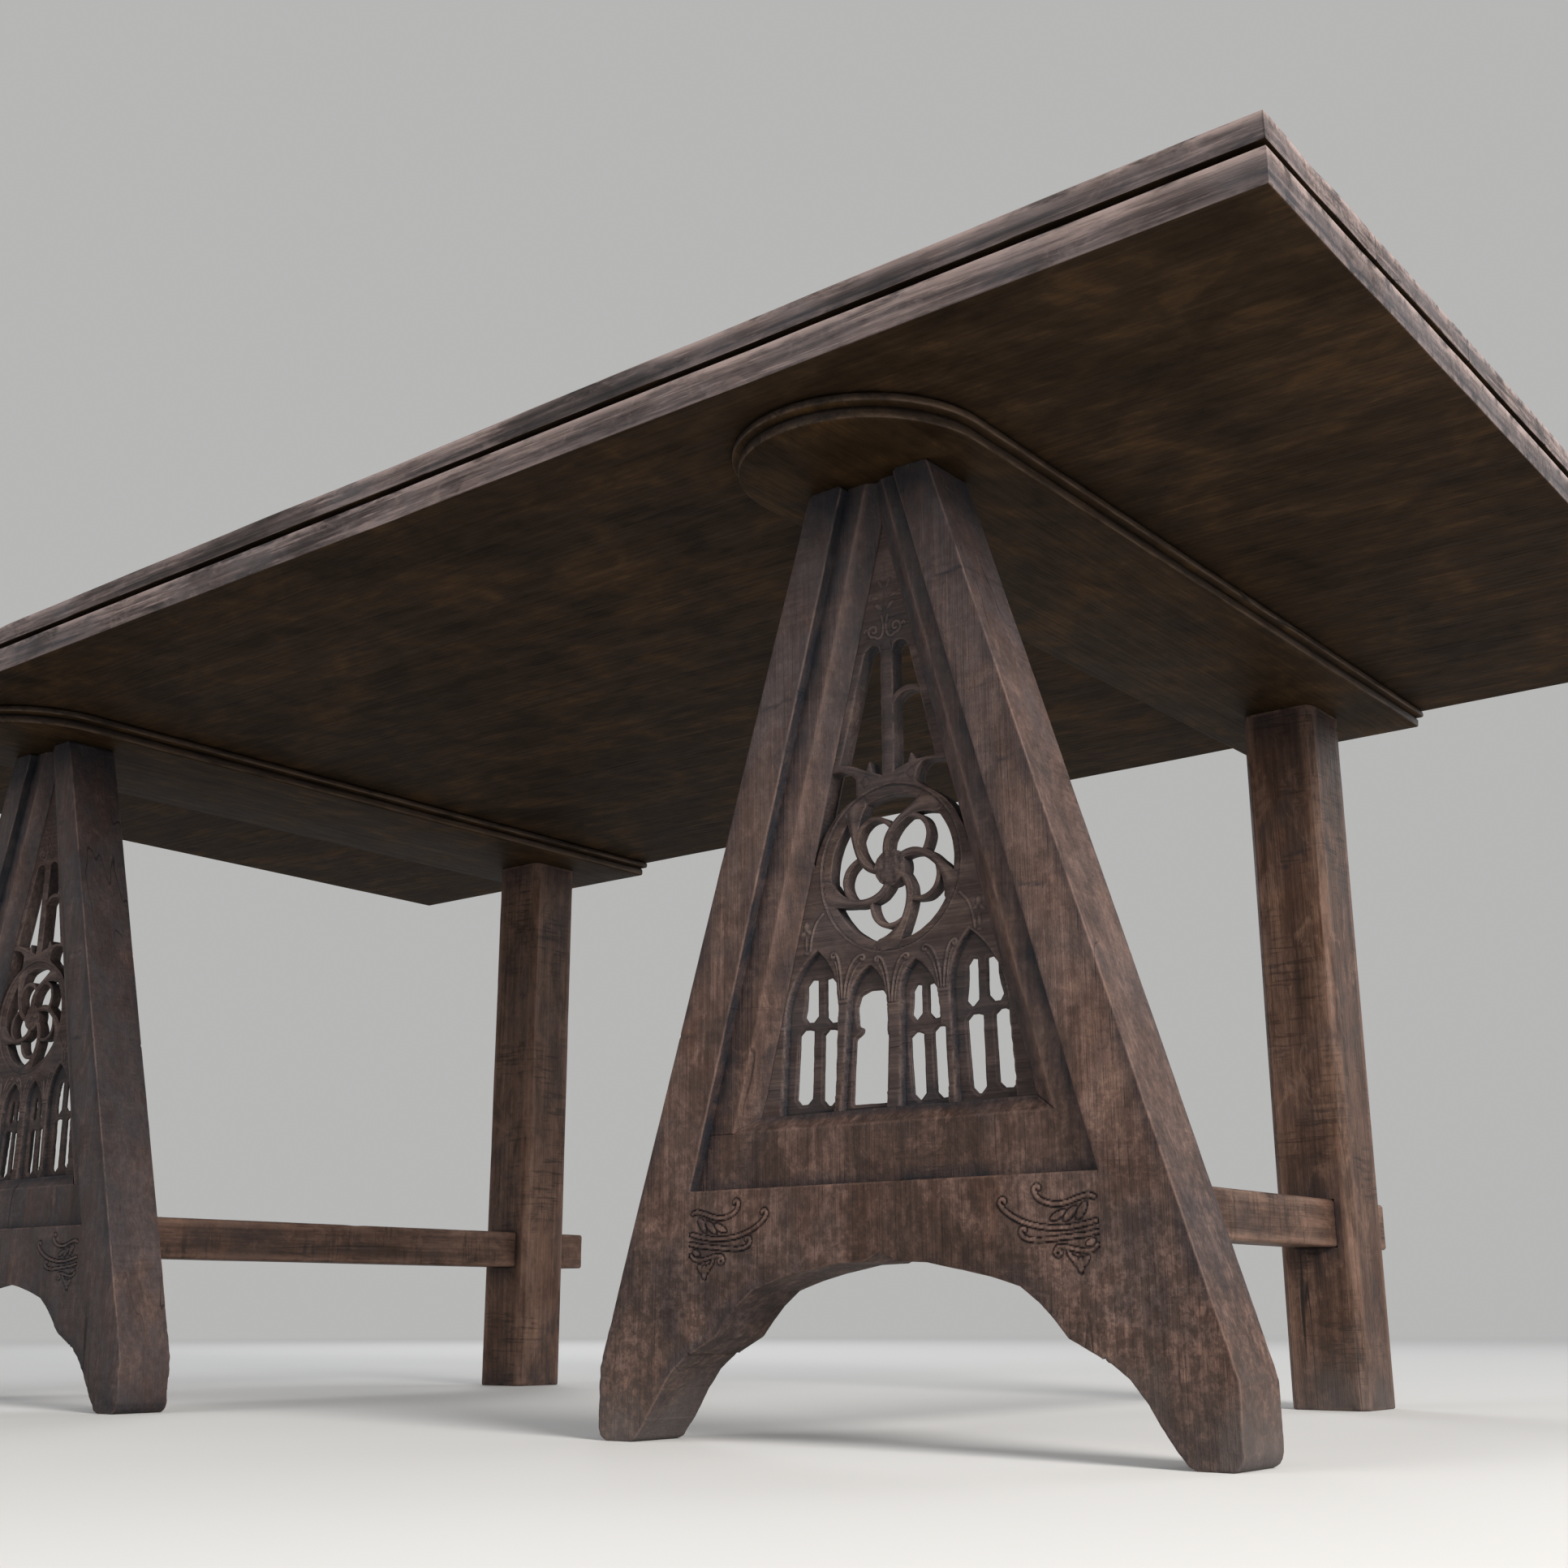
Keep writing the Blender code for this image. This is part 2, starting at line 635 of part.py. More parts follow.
def flank(hand):
    """The opening beside the rose, between its rim, the field's edge and the crown."""
    rim = []
    for i in range(9):
        t = i / 8
        x, z = rose_point(0.0885 + 0.0068 * t, 117 + 55 * t)
        rim.append((-hand * x, z))
    crown = FLANK_CROWNS[hand]
    low, high = rim[-1][1] + 0.004, crown[0][1]
    edge = [(hand * (field_half(z) + 0.0015), z) for z in (low, high)]
    return rim + edge + crown


def lancet(hand):
    sill = LANCET_SILLS[hand]
    return sill[-1:] + [(hand * x, z) for x, z in LANCET_HEAD] + sill[:-1]


def openings(side):
    """Outlines of everything pierced right through the panel."""
    found = []
    for number, lights in enumerate(LIGHTS):
        if side != BROKEN_SIDE or number != BROKEN_ARCH:
            found += [light(*row) for row in lights]
    if side == BROKEN_SIDE:
        found.append(rounded(BROKEN_OPENING, BROKEN_RADIUS, steps=1))
    found.append(rose_circle(ROSE_OPENING, ROSE_OPENING_STEPS))
    found += [flank(-1), flank(1), lancet(-1), lancet(1)]
    return found


def rose_arm(end):
    """A curved arm, flared towards its outer end at the given angle."""
    line, widths = [], []
    for i in range(ARM_STEPS + 1):
        radius = ARM_START + ARM_REACH * i / ARM_STEPS
        sweep = 54 * (0.080 - radius) / 0.057
        outer_share = min(1.0, max(0.0, (radius - 0.03) / 0.05))
        sag = 3.5 * math.sin(math.pi * outer_share)
        line.append(rose_point(radius, end + sweep - sag))
        widths.append(0.0075 + 0.014 * max(0.0, (radius - 0.055) / 0.025) ** 1.6)
    return ribbon(line, widths)


def small_arc(end):
    line = [rose_point(radius, end + degrees) for radius, degrees in SMALL_ARC]
    return ribbon(line, [SMALL_ARC_WIDTH] * len(line))


def make_panel(side):
    """The pierced panel: four blind arches with lights, a pinwheel rose, two lancets."""
    right_edge = [
        (recess_half(z) - JOINT - PANEL_SIDE_GAP, z) for z in (FIELD_FOOT + JOINT, PANEL_TOP)
    ]
    front, back = PANEL_FRONT * UNDERSIDE, PANEL_BACK * UNDERSIDE
    outline = metres(right_edge + mirrored(right_edge))
    panel = prism(f"tracery_panel_{side}", outline, front, back)

    def cut(outlines, depth):
        cutters = [
            prism("cutter", metres(points), front - OVERRUN, depth, helper=True)
            for points in outlines
        ]
        combine(panel, gather(cutters), "DIFFERENCE")

    def join(points, insets):
        part = prism("part", metres(points), front + insets[0], back - insets[1], helper=True)
        combine(panel, part, "UNION")

    cut([blind_arch(*row) for row in ARCHES], front + BLIND_DEPTH)
    cut(openings(side), back + OVERRUN)

    # pinwheel: curved arms and small arcs about a hub
    arm_ends = [ROSE_START - 360 / ROSE_ARMS * k for k in range(ROSE_ARMS)]
    for end in arm_ends:
        join(rose_arm(end), ARM_INSETS)
    for end in arm_ends:
        join(small_arc(end), SMALL_ARC_INSETS)
    join(rose_circle(ROSE_HUB, ROSE_HUB_STEPS), HUB_INSETS)

    # the surviving cusp in the right lancet
    cusp = bow(*CUSP_ENDS, CUSP_RISE, CUSP_STEPS)
    join(ribbon(cusp, [CUSP_WIDTH] * len(cusp)), CUSP_INSETS)
    place(panel, side, "oak_tracery")


# --------------------------------------------------------------------- build
clear()
make_top()
for trestle in TRESTLE_X:
    make_bearer(trestle)
    make_post(trestle)
    make_stretcher(trestle)
    make_foot_rail(trestle)
    for leg_hand in (-1, 1):
        make_leg(trestle, leg_hand)
        make_bead(trestle, leg_hand, "front")
        make_bead(trestle, leg_hand, "back")
    make_panel(trestle)
bpy.context.view_layer.update()
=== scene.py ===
"""An oak table on two trestles.

Each trestle has a pierced and carved A-frame at the front, a square rear post, a low
stretcher and a bearer under the top. Metres: x runs left to right, -y is the front, z is
up and the floor is z = 0. The planks of the top run along x.
"""
import math
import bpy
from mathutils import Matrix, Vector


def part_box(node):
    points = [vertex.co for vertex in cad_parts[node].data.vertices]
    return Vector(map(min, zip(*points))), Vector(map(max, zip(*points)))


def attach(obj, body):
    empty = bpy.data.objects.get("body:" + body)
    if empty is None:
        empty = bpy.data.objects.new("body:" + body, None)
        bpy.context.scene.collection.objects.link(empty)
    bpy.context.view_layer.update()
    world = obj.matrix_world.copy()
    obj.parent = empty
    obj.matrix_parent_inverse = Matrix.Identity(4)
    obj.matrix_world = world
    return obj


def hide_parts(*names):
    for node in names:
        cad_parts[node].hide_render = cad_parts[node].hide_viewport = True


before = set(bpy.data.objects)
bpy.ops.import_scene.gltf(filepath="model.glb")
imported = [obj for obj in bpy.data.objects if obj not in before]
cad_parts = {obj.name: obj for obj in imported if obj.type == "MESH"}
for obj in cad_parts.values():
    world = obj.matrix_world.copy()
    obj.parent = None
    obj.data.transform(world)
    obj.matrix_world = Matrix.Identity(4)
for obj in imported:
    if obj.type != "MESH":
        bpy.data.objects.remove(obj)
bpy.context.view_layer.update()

from types import SimpleNamespace

import bmesh
import bpy
import numpy as np
from mathutils import Matrix, Vector

# ------------------------------------------------------------ proportions
UNIT = 0.7466  # floor to the underside of the top
SIDES = ("left", "right")


def middle(low, high):
    return (low + high) / 2


top_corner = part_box("top_board")[1]
TOP_HALF_X, TOP_HALF_Y = top_corner.x, top_corner.y
PLANK_WIDTH = 0.1797
BEARER_LOW = 0.7264
BEARER_STEP = 0.7374  # the bearer is narrower below this height
POST_HIGH = 0.7266
FRONT_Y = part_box("leg_outer_right")[0].y
TRESTLE_X = {side: middle(*(corner.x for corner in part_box(f"rear_post_{side}"))) for side in SIDES}

# The A-frames are drawn in fractions of UNIT: x from the trestle's middle, y back from the
# front face, z from the floor. "Half" is half a width; a taper is its loss per height.
THICK = 0.0586 / UNIT
FOOT_HALF, FOOT_STRAIGHT = 0.3575, 0.070
FRAME_TOP, FRAME_TOP_HALF = 0.9732, 0.0756
BEAD_TOP = 0.9735
# the recess in the frame's faces
RECESS_FOOT, RECESS_HALF, RECESS_TAPER = 0.245, 0.236, 0.2805
# inside it a flat border, a bevel, and the field that holds the tracery
BORDER_HIGH = 0.302
FIELD_FOOT, FIELD_HALF, FIELD_TAPER = 0.317, 0.163, 0.266
BEVEL = 0.021
BORDER_Y, BEAD_LIP_Y, PANEL_Y0, PANEL_Y1 = 0.013, 0.0275, 0.0292, 0.0496
# underside of the foot rail, right half, from foot to crown: x, z
ARCH = [
    (0.315, 0.0), (0.307, 0.003), (0.293, 0.020), (0.273, 0.050), (0.257, 0.070),
    (0.240, 0.083), (0.220, 0.093), (0.200, 0.103), (0.187, 0.118), (0.172, 0.133),
    (0.153, 0.147), (0.123, 0.156), (0.093, 0.163), (0.050, 0.170), (0.018, 0.171),
    (0.0, 0.179),
]
# where a leg and the foot rail meet on that arch
ARCH_AT_LEG = (RECESS_HALF, float(np.interp(RECESS_HALF, *np.array(ARCH[::-1]).T)))
SKIN_SEED = {"right": 311, "left": 361}


def recess_half(z):
    return RECESS_HALF - RECESS_TAPER * (z - RECESS_FOOT)


def field_half(z):
    return FIELD_HALF - FIELD_TAPER * (z - FIELD_FOOT)


def which(side, hand):
    """Name of a part on the frame's right (hand 1) or left (hand -1)."""
    return "outer" if (hand > 0) == (side == "right") else "inner"


def to_table(points, side):
    """Moves frame coordinates to metres."""
    return np.asarray(points) * UNIT + (TRESTLE_X[side], FRONT_Y, 0.0)


# ------------------------------------------------------- noise and falloff
def lattice(i, j, k, seed):
    """Hashes whole-number points to values from -1 to 1."""
    n = (
        i.astype(np.uint64) * np.uint64(374761393)
        + j.astype(np.uint64) * np.uint64(668265263)
        + k.astype(np.uint64) * np.uint64(2246822519)
        + np.uint64(seed * 1013904223 + 97)
    ) & np.uint64(0xFFFFFFFF)
    for shift, factor in ((13, 1274126177), (15, 2246822519)):
        n = ((n ^ (n >> np.uint64(shift))) * np.uint64(factor)) & np.uint64(0xFFFFFFFF)
    return ((n ^ (n >> np.uint64(16))) & np.uint64(0xFFFF)).astype(np.float64) / 32767.5 - 1.0


def noise(x, y=0.0, z=0.0, seed=0):
    """Smooth noise between -1 and 1, with one value per unit cell corner."""
    point = np.broadcast_arrays(*(np.asarray(v, float) + 1000.0 for v in (x, y, z)))
    whole = [np.floor(v) for v in point]
    shares = []
    for value, floor in zip(point, whole):
        part = value - floor
        part = part * part * (3 - 2 * part)
        shares.append((1 - part, part))
    total = np.zeros_like(point[0])
    for i, j, k in np.ndindex(2, 2, 2):
        weight = shares[0][i] * shares[1][j] * shares[2][k]
        total += weight * lattice(whole[0] + i, whole[1] + j, whole[2] + k, seed)
    return total


def layered_noise(x, y, seed):
    """Three octaves of noise."""
    total, strength, scale = 0.0, 1.0, 1.0
    for octave in range(3):
        total = total + strength * noise(x * scale, y * scale, seed=seed + octave)
        strength *= 0.5
        scale *= 2.03
    return total


def clip01(value):
    return np.clip(value, 0, 1)


def fade(distance, width):
    """1 at no distance (or less), falling to 0 at width."""
    return clip01(1 - distance / width)


def near(value, centre, width):
    """1 where value is at centre, falling to 0 at width from it on both sides."""
    return fade(np.abs(value - centre), width)


def ramp(value, start, end):
    t = clip01((value - start) / (end - start))
    return t * t * (3 - 2 * t)


def arris_drop(distance, radius):
    """How far a rounded arris lies below its face, at a distance from the edge."""
    return radius * (1 - np.sqrt(clip01(1 - (1 - clip01(distance / radius)) ** 2)))


# ------------------------------------------------- plane distance helpers
MARGIN = 0.02  # distances are worked out only this far round a shape
FAR = 1.0  # and are this beyond it


def window(x, z, points):
    outline = np.asarray(points)
    return (
        (x > outline[:, 0].min() - MARGIN) & (x < outline[:, 0].max() + MARGIN)
        & (z > outline[:, 1].min() - MARGIN) & (z < outline[:, 1].max() + MARGIN)
    )


def segment_dist(x, z, a, b):
    """(distance to the segment, share of the way along it)."""
    dx, dz = b[0] - a[0], b[1] - a[1]
    share = clip01(((x - a[0]) * dx + (z - a[1]) * dz) / (dx * dx + dz * dz + 1e-18))
    return np.hypot(x - a[0] - share * dx, z - a[1] - share * dz), share


def line_dist(x, z, points):
    """Distance to an open line."""
    result = np.full(np.shape(x), FAR)
    mask = window(x, z, points)
    best = np.full(x[mask].shape, FAR)
    for a, b in zip(points, points[1:]):
        best = np.minimum(best, segment_dist(x[mask], z[mask], a, b)[0])
    result[mask] = best
    return result


def poly_dist(x, z, points):
    """Signed distance to a closed outline, negative inside."""
    result = np.full(np.shape(x), FAR)
    mask = window(x, z, points)
    x, z = x[mask], z[mask]
    best = np.full(x.shape, FAR)
    inside = np.zeros(x.shape, bool)
    for a, b in zip(points, list(points[1:]) + [points[0]]):
        best = np.minimum(best, segment_dist(x, z, a, b)[0])
        if a[1] != b[1]:
            crosses = (z > min(a[1], b[1])) & (z <= max(a[1], b[1]))
            inside ^= crosses & (x < a[0] + (z - a[1]) * (b[0] - a[0]) / (b[1] - a[1]))
    result[mask] = np.where(inside, -best, best)
    return result


def tapered_dist(x, z, line, halves):
    """(distance to a line less its half width, distance over half width)."""
    gap = np.full(np.shape(x), FAR)
    share = np.full(np.shape(x), 9.0)
    mask = window(x, z, line)
    x, z = x[mask], z[mask]
    best = np.full(x.shape, FAR)
    best_share = np.full(x.shape, 9.0)
    for a, b, half_a, half_b in zip(line, line[1:], halves, halves[1:]):
        distance, t = segment_dist(x, z, a, b)
        half = half_a + (half_b - half_a) * t
        closer = distance - half < best
        best = np.where(closer, distance - half, best)
        best_share = np.where(closer, distance / half, best_share)
    gap[mask] = best
    share[mask] = best_share
    return gap, share


def nearest(distance, x, z, shapes):
    """Least distance to any of the shapes."""
    gap = np.full(np.shape(x), FAR)
    for shape in shapes:
        gap = np.minimum(gap, distance(x, z, shape))
    return gap


def dome(x, z, cx, cz, rx, rz, degrees=0.0):
    """1 at the centre of an ellipse, falling to 0 at its rim."""
    turn = math.radians(degrees)
    u = (x - cx) * math.cos(turn) + (z - cz) * math.sin(turn)
    v = -(x - cx) * math.sin(turn) + (z - cz) * math.cos(turn)
    return np.sqrt(clip01(1 - (u / rx) ** 2 - (v / rz) ** 2))


# ------------------------------------------------------------------ curves
def bow(start, end, rise, steps):
    """An arc that bulges by rise to the left of the way from start to end."""
    dx, dz = end[0] - start[0], end[1] - start[1]
    chord = math.hypot(dx, dz)
    radius = (chord * chord / 4 + rise * rise) / (2 * rise)
    half = math.asin(min(1.0, chord / 2 / radius))
    nx, nz = -dz / chord, dx / chord
    cx = middle(start[0], end[0]) - nx * (radius - rise)
    cz = middle(start[1], end[1]) - nz * (radius - rise)
    points = []
    for i in range(steps + 1):
        t = -half + 2 * half * i / steps
        along, off = radius * math.sin(t), radius * math.cos(t)
        points.append((cx + dx / chord * along + nx * off, cz + dz / chord * along + nz * off))
    return points


def bezier(p0, p1, p2, p3, steps):
    points = []
    for i in range(steps + 1):
        t = i / steps
        s = 1 - t
        points.append(tuple(
            s**3 * a + 3 * s * s * t * b + 3 * s * t * t * c + t**3 * d
            for a, b, c, d in zip(p0, p1, p2, p3)
        ))
    return points


def spline(knots, steps=6):
    """A smooth line through the knots."""
    points = []
    for i in range(len(knots) - 1):
        around = (knots[max(i - 1, 0)], knots[i], knots[i + 1], knots[min(i + 2, len(knots) - 1)])
        for k in range(steps):
            t = k / steps
            points.append(tuple(
                0.5 * (
                    2 * b + (c - a) * t + (2 * a - 5 * b + 4 * c - d) * t * t
                    + (3 * b - a - 3 * c + d) * t**3
                )
                for a, b, c, d in zip(*around)
            ))
    points.append(tuple(knots[-1]))
    return points


def spiral(cx, cz, r0, r1, degrees0, degrees1, steps):
    points = []
    for i in range(steps + 1):
        t = i / steps
        radius = r0 + (r1 - r0) * t
        angle = math.radians(degrees0 + (degrees1 - degrees0) * t)
        points.append((cx + radius * math.cos(angle), cz + radius * math.sin(angle)))
    return points


def rounded(outline, radius, steps):
    """A closed outline with its corners rounded."""
    points = []
    for i, (x, z) in enumerate(outline):
        ends = []
        for nx, nz in (outline[i - 1], outline[(i + 1) % len(outline)]):
            length = math.hypot(nx - x, nz - z)
            reach = min(radius, length * 0.45)
            ends.append((x + (nx - x) / length * reach, z + (nz - z) / length * reach))
        a, b = ends
        for k in range(steps + 1):
            t = k / steps
            points.append((
                (1 - t) ** 2 * a[0] + 2 * t * (1 - t) * x + t * t * b[0],
                (1 - t) ** 2 * a[1] + 2 * t * (1 - t) * z + t * t * b[1],
            ))
    return points


def mirrored(points, hand):
    return [(hand * x, z) for x, z in points]


# ------------------------------------------------------------ mesh making
def finish_piece(obj, node, material, sharp):
    mesh = obj.data
    mesh.polygons.foreach_set("use_smooth", np.ones(len(mesh.polygons), bool))
    mesh.set_sharp_from_angle(angle=math.radians(sharp))
    mesh.materials.clear()
    mesh.materials.append(material)
    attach(obj, "root")
    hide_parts(node)


def attribute(mesh, name, values):
    made = mesh.attributes.new(name, "FLOAT", "POINT")
    made.data.foreach_set("value", np.asarray(values, np.float32))


def linked_object(name, mesh):
    obj = bpy.data.objects.new(name, mesh)
    bpy.context.scene.collection.objects.link(obj)
    return obj


def object_from(name, verts, quads, tris=()):
    mesh = bpy.data.meshes.new(name)
    mesh.vertices.add(len(verts))
    mesh.vertices.foreach_set("co", np.asarray(verts, np.float32).ravel())
    quads = np.asarray(quads, np.int64).reshape(-1, 4)
    tris = np.asarray(tris, np.int64).reshape(-1, 3)
    loops = np.concatenate([quads.ravel(), tris.ravel()]).astype(np.int32)
    mesh.loops.add(len(loops))
    mesh.loops.foreach_set("vertex_index", loops)
    starts = np.concatenate([
        np.arange(len(quads)) * 4, len(quads) * 4 + np.arange(len(tris)) * 3
    ]).astype(np.int32)
    mesh.polygons.add(len(starts))
    mesh.polygons.foreach_set("loop_start", starts)
    mesh.update(calc_edges=True)
    mesh.validate()
    return linked_object(name, mesh)


def lone_first(tris, flags, wanted):
    """Turns each triangle so that its one corner flagged as wanted comes first."""
    lone = np.argmax(flags == wanted, axis=1)
    return np.take_along_axis(tris, (lone[:, None] + np.arange(3)[None, :]) % 3, 1)


def weld(points, quads, tris, rim, grain):
    """Joins points that fall in one cell of size grain, and drops unused ones."""
    cells = np.round(points / grain).astype(np.int64)
    used = np.unique(np.concatenate([quads.ravel(), tris.ravel()]))
    _, first, joined = np.unique(cells[used], axis=0, return_index=True, return_inverse=True)
    remap = np.full(len(points), -1)
    remap[used] = joined.reshape(-1)
    points = points[used][first]
    quads, tris, rim = remap[quads], remap[tris], remap[rim]
    rim = rim[rim[:, 0] != rim[:, 1]]
    tris = tris[(tris != np.roll(tris, -1, axis=1)).all(1)]
    # a quad with two corners welded becomes a triangle
    doubled = quads == np.roll(quads, -1, axis=1)
    shrunk = doubled.any(1)
    fixed = [
        [v for v, twin in zip(quad, twins) if not twin]
        for quad, twins in zip(quads[shrunk], doubled[shrunk])
    ]
    fixed = [corners for corners in fixed if len(set(corners)) == 3]
    if fixed:
        tris = np.concatenate([tris, np.array(fixed)])
    return points, quads[~shrunk], tris, rim


def cut_sheet(bounds, step, margin_at):
    """A flat grid kept where margin_at(x, z) > 0: its points, quads, triangles and rim edges."""
    x0, x1, z0, z1 = bounds
    x, z = np.meshgrid(np.arange(x0, x1 + step, step), np.arange(z0, z1 + step, step))
    margin = margin_at(x, z).ravel()
    ids = np.arange(x.size).reshape(x.shape)
    cells = np.stack([ids[:-1, :-1], ids[:-1, 1:], ids[1:, 1:], ids[1:, :-1]], -1)
    count = (margin[cells] > 0).sum(-1)
    quads = cells[count == 4]
    cells = cells[(count > 0) & (count < 4)]
    tris = np.concatenate([cells[:, [0, 1, 2]], cells[:, [0, 2, 3]]])
    flags = margin[tris] > 0
    total = flags.sum(1)
    one = lone_first(tris[total == 1], flags[total == 1], True)
    two = lone_first(tris[total == 2], flags[total == 2], False)
    edges = np.concatenate([one[:, [0, 1]], one[:, [0, 2]], two[:, [1, 0]], two[:, [2, 0]]])
    edges, inverse = np.unique(np.sort(edges, 1), axis=0, return_inverse=True)
    a, b = edges[:, 0], edges[:, 1]
    # cuts keep off the grid's own points, so the outline never touches itself
    t = np.clip(margin[a] / (margin[a] - margin[b]), 0.06, 0.94)
    points = np.stack([x.ravel(), z.ravel()], 1)
    cut_ids = len(points) + inverse.reshape(-1)
    points = np.concatenate([points, points[a] + (points[b] - points[a]) * t[:, None]])
    ends = np.cumsum([len(one), len(one), len(two)])
    one_b, one_c, two_b, two_c = np.split(cut_ids, ends)
    quads = np.concatenate([quads, np.stack([two[:, 1], two[:, 2], two_c, two_b], 1)])
    tris = np.concatenate([tris[total == 3], np.stack([one[:, 0], one_b, one_c], 1)])
    rim = np.concatenate([np.stack([one_b, one_c], 1), np.stack([two_c, two_b], 1)])
    return weld(points, quads, tris, rim, step * 0.02)


def nowhere(x, z):
    return np.zeros(len(x))


# a rounded arris in four rings: angle in degrees, wear and painted highlight
ARRIS_RINGS = ((25, 0.45), (50, 1.0), (72, 0.55), (90, 0.12))


def relief(name, side, bounds, step, inside, front, back, ease, wall_dirt_and_shade=nowhere, flush=nowhere):
    """A carved upright board.

    inside(x, z) is the distance into the wood; front and back give (y, wear and painted
    highlight, cavity: dirt and painted shade). The grid stops ease short of the outline, and
    arrises of that radius lead over to the sawn edge, except where flush is 1.
    """
    points, quads, tris, rim = cut_sheet(bounds, step, lambda x, z: inside(x, z) - ease)
    n = len(points)
    on_rim = np.unique(rim)
    ring_id = np.full(n, -1)
    ring_id[on_rim] = np.arange(len(on_rim))
    x, z = points[on_rim].T
    eps = 0.0003
    slope = np.stack([
        inside(x + eps, z) - inside(x - eps, z), inside(x, z + eps) - inside(x, z - eps)
    ], 1)
    size = np.hypot(slope[:, 0], slope[:, 1])
    level = size < 1e-5
    outward = -np.where(level[:, None], 0, slope / np.where(level, 1.0, size)[:, None])

    front_y, front_wear_and_highlight, front_cavity = front(points[:, 0], points[:, 1])
    back_y, back_wear_and_highlight, back_cavity = back(points[:, 0], points[:, 1])
    back_y = np.maximum(back_y, front_y + 0.0010)
    y0, y1 = front_y[on_rim], back_y[on_rim]
    # dirt and painted shade on the walls of the cut
    dirt_and_shade = wall_dirt_and_shade(x, z)
    eased = 1.0 - flush(x, z)
    soft = np.minimum(ease, (y1 - y0) * 0.3) * eased

    def arris_band(k, y, way, cavity):
        angle = math.radians(ARRIS_RINGS[k][0])
        return (
            ease * math.sin(angle), y + way * soft * (1 - math.cos(angle)),
            ARRIS_RINGS[k][1] * eased, cavity[on_rim] * (1 - 0.3 * eased) + dirt_and_shade * k / 3,
        )

    # the arris rings are painted paler (wear and painted highlight), the walls darker (dirt and
    # painted shade)
    bands = [arris_band(k, y0, 1, front_cavity) for k in range(4)]
    wall0, wall1 = y0 + soft, y1 - soft
    for share in (0.12, 0.5, 0.88):
        wall_y = wall0 + (wall1 - wall0) * share
        bands.append((ease, wall_y, 0 * y0, front_cavity[on_rim] * 0.4 + dirt_and_shade))
    bands += [arris_band(k, y1, -1, back_cavity) for k in (3, 2, 1, 0)]

    verts = [np.stack([points[:, 0], y, points[:, 1]], 1) for y in (front_y, back_y)]
    layers, wear, cavity = [rim], [front_wear_and_highlight, back_wear_and_highlight], [front_cavity, back_cavity]
    for i, (shift, y, band_wear_and_highlight, band_cavity) in enumerate(bands):
        at = points[on_rim] + outward * shift
        verts.append(np.stack([at[:, 0], y, at[:, 1]], 1))
        wear.append(clip01(band_wear_and_highlight))
        cavity.append(band_cavity)
        layers.append(ring_id[rim] + 2 * n + i * len(on_rim))
    layers.append(rim + n)
    walls = [
        np.stack([a[:, 1], a[:, 0], b[:, 0], b[:, 1]], 1) for a, b in zip(layers, layers[1:])
    ]
    obj = object_from(
        name, to_table(np.concatenate(verts), side),
        np.concatenate([quads, quads[:, ::-1] + n] + walls),
        np.concatenate([tris, tris[:, ::-1] + n]),
    )
    attribute(obj.data, "wear", np.concatenate(wear))
    attribute(obj.data, "cavity", clip01(np.concatenate(cavity)))
    return obj


def loft(name, sections, wear=None, cavity=None):
    """Rings of points, all the same length, closed by flat caps."""
    n = len(sections[0])
    verts = np.concatenate([np.asarray(ring, float) for ring in sections])
    last = (len(sections) - 1) * n
    faces = [tuple(range(n))]
    for a in range(0, last, n):
        b = a + n
        faces += [(a + i, a + (i + 1) % n, b + (i + 1) % n, b + i) for i in range(n)]
    faces.append(tuple(last + i for i in reversed(range(n))))
    mesh = bpy.data.meshes.new(name)
    mesh.from_pydata(verts.tolist(), [], faces)
    mesh.update()
    work = bmesh.new()
    work.from_mesh(mesh)
    bmesh.ops.recalc_face_normals(work, faces=work.faces)
    work.to_mesh(mesh)
    work.free()
    obj = linked_object(name, mesh)
    if wear is not None:
        attribute(mesh, "wear", np.concatenate(wear))
    if cavity is not None:
        attribute(mesh, "cavity", clip01(np.concatenate(cavity)))
    return obj


# --------------------------------------------------------------- materials
def shade(colour, factor):
    return tuple(c * factor for c in colour)


def tint(colour, factors):
    return tuple(a * b for a, b in zip(colour, factors))


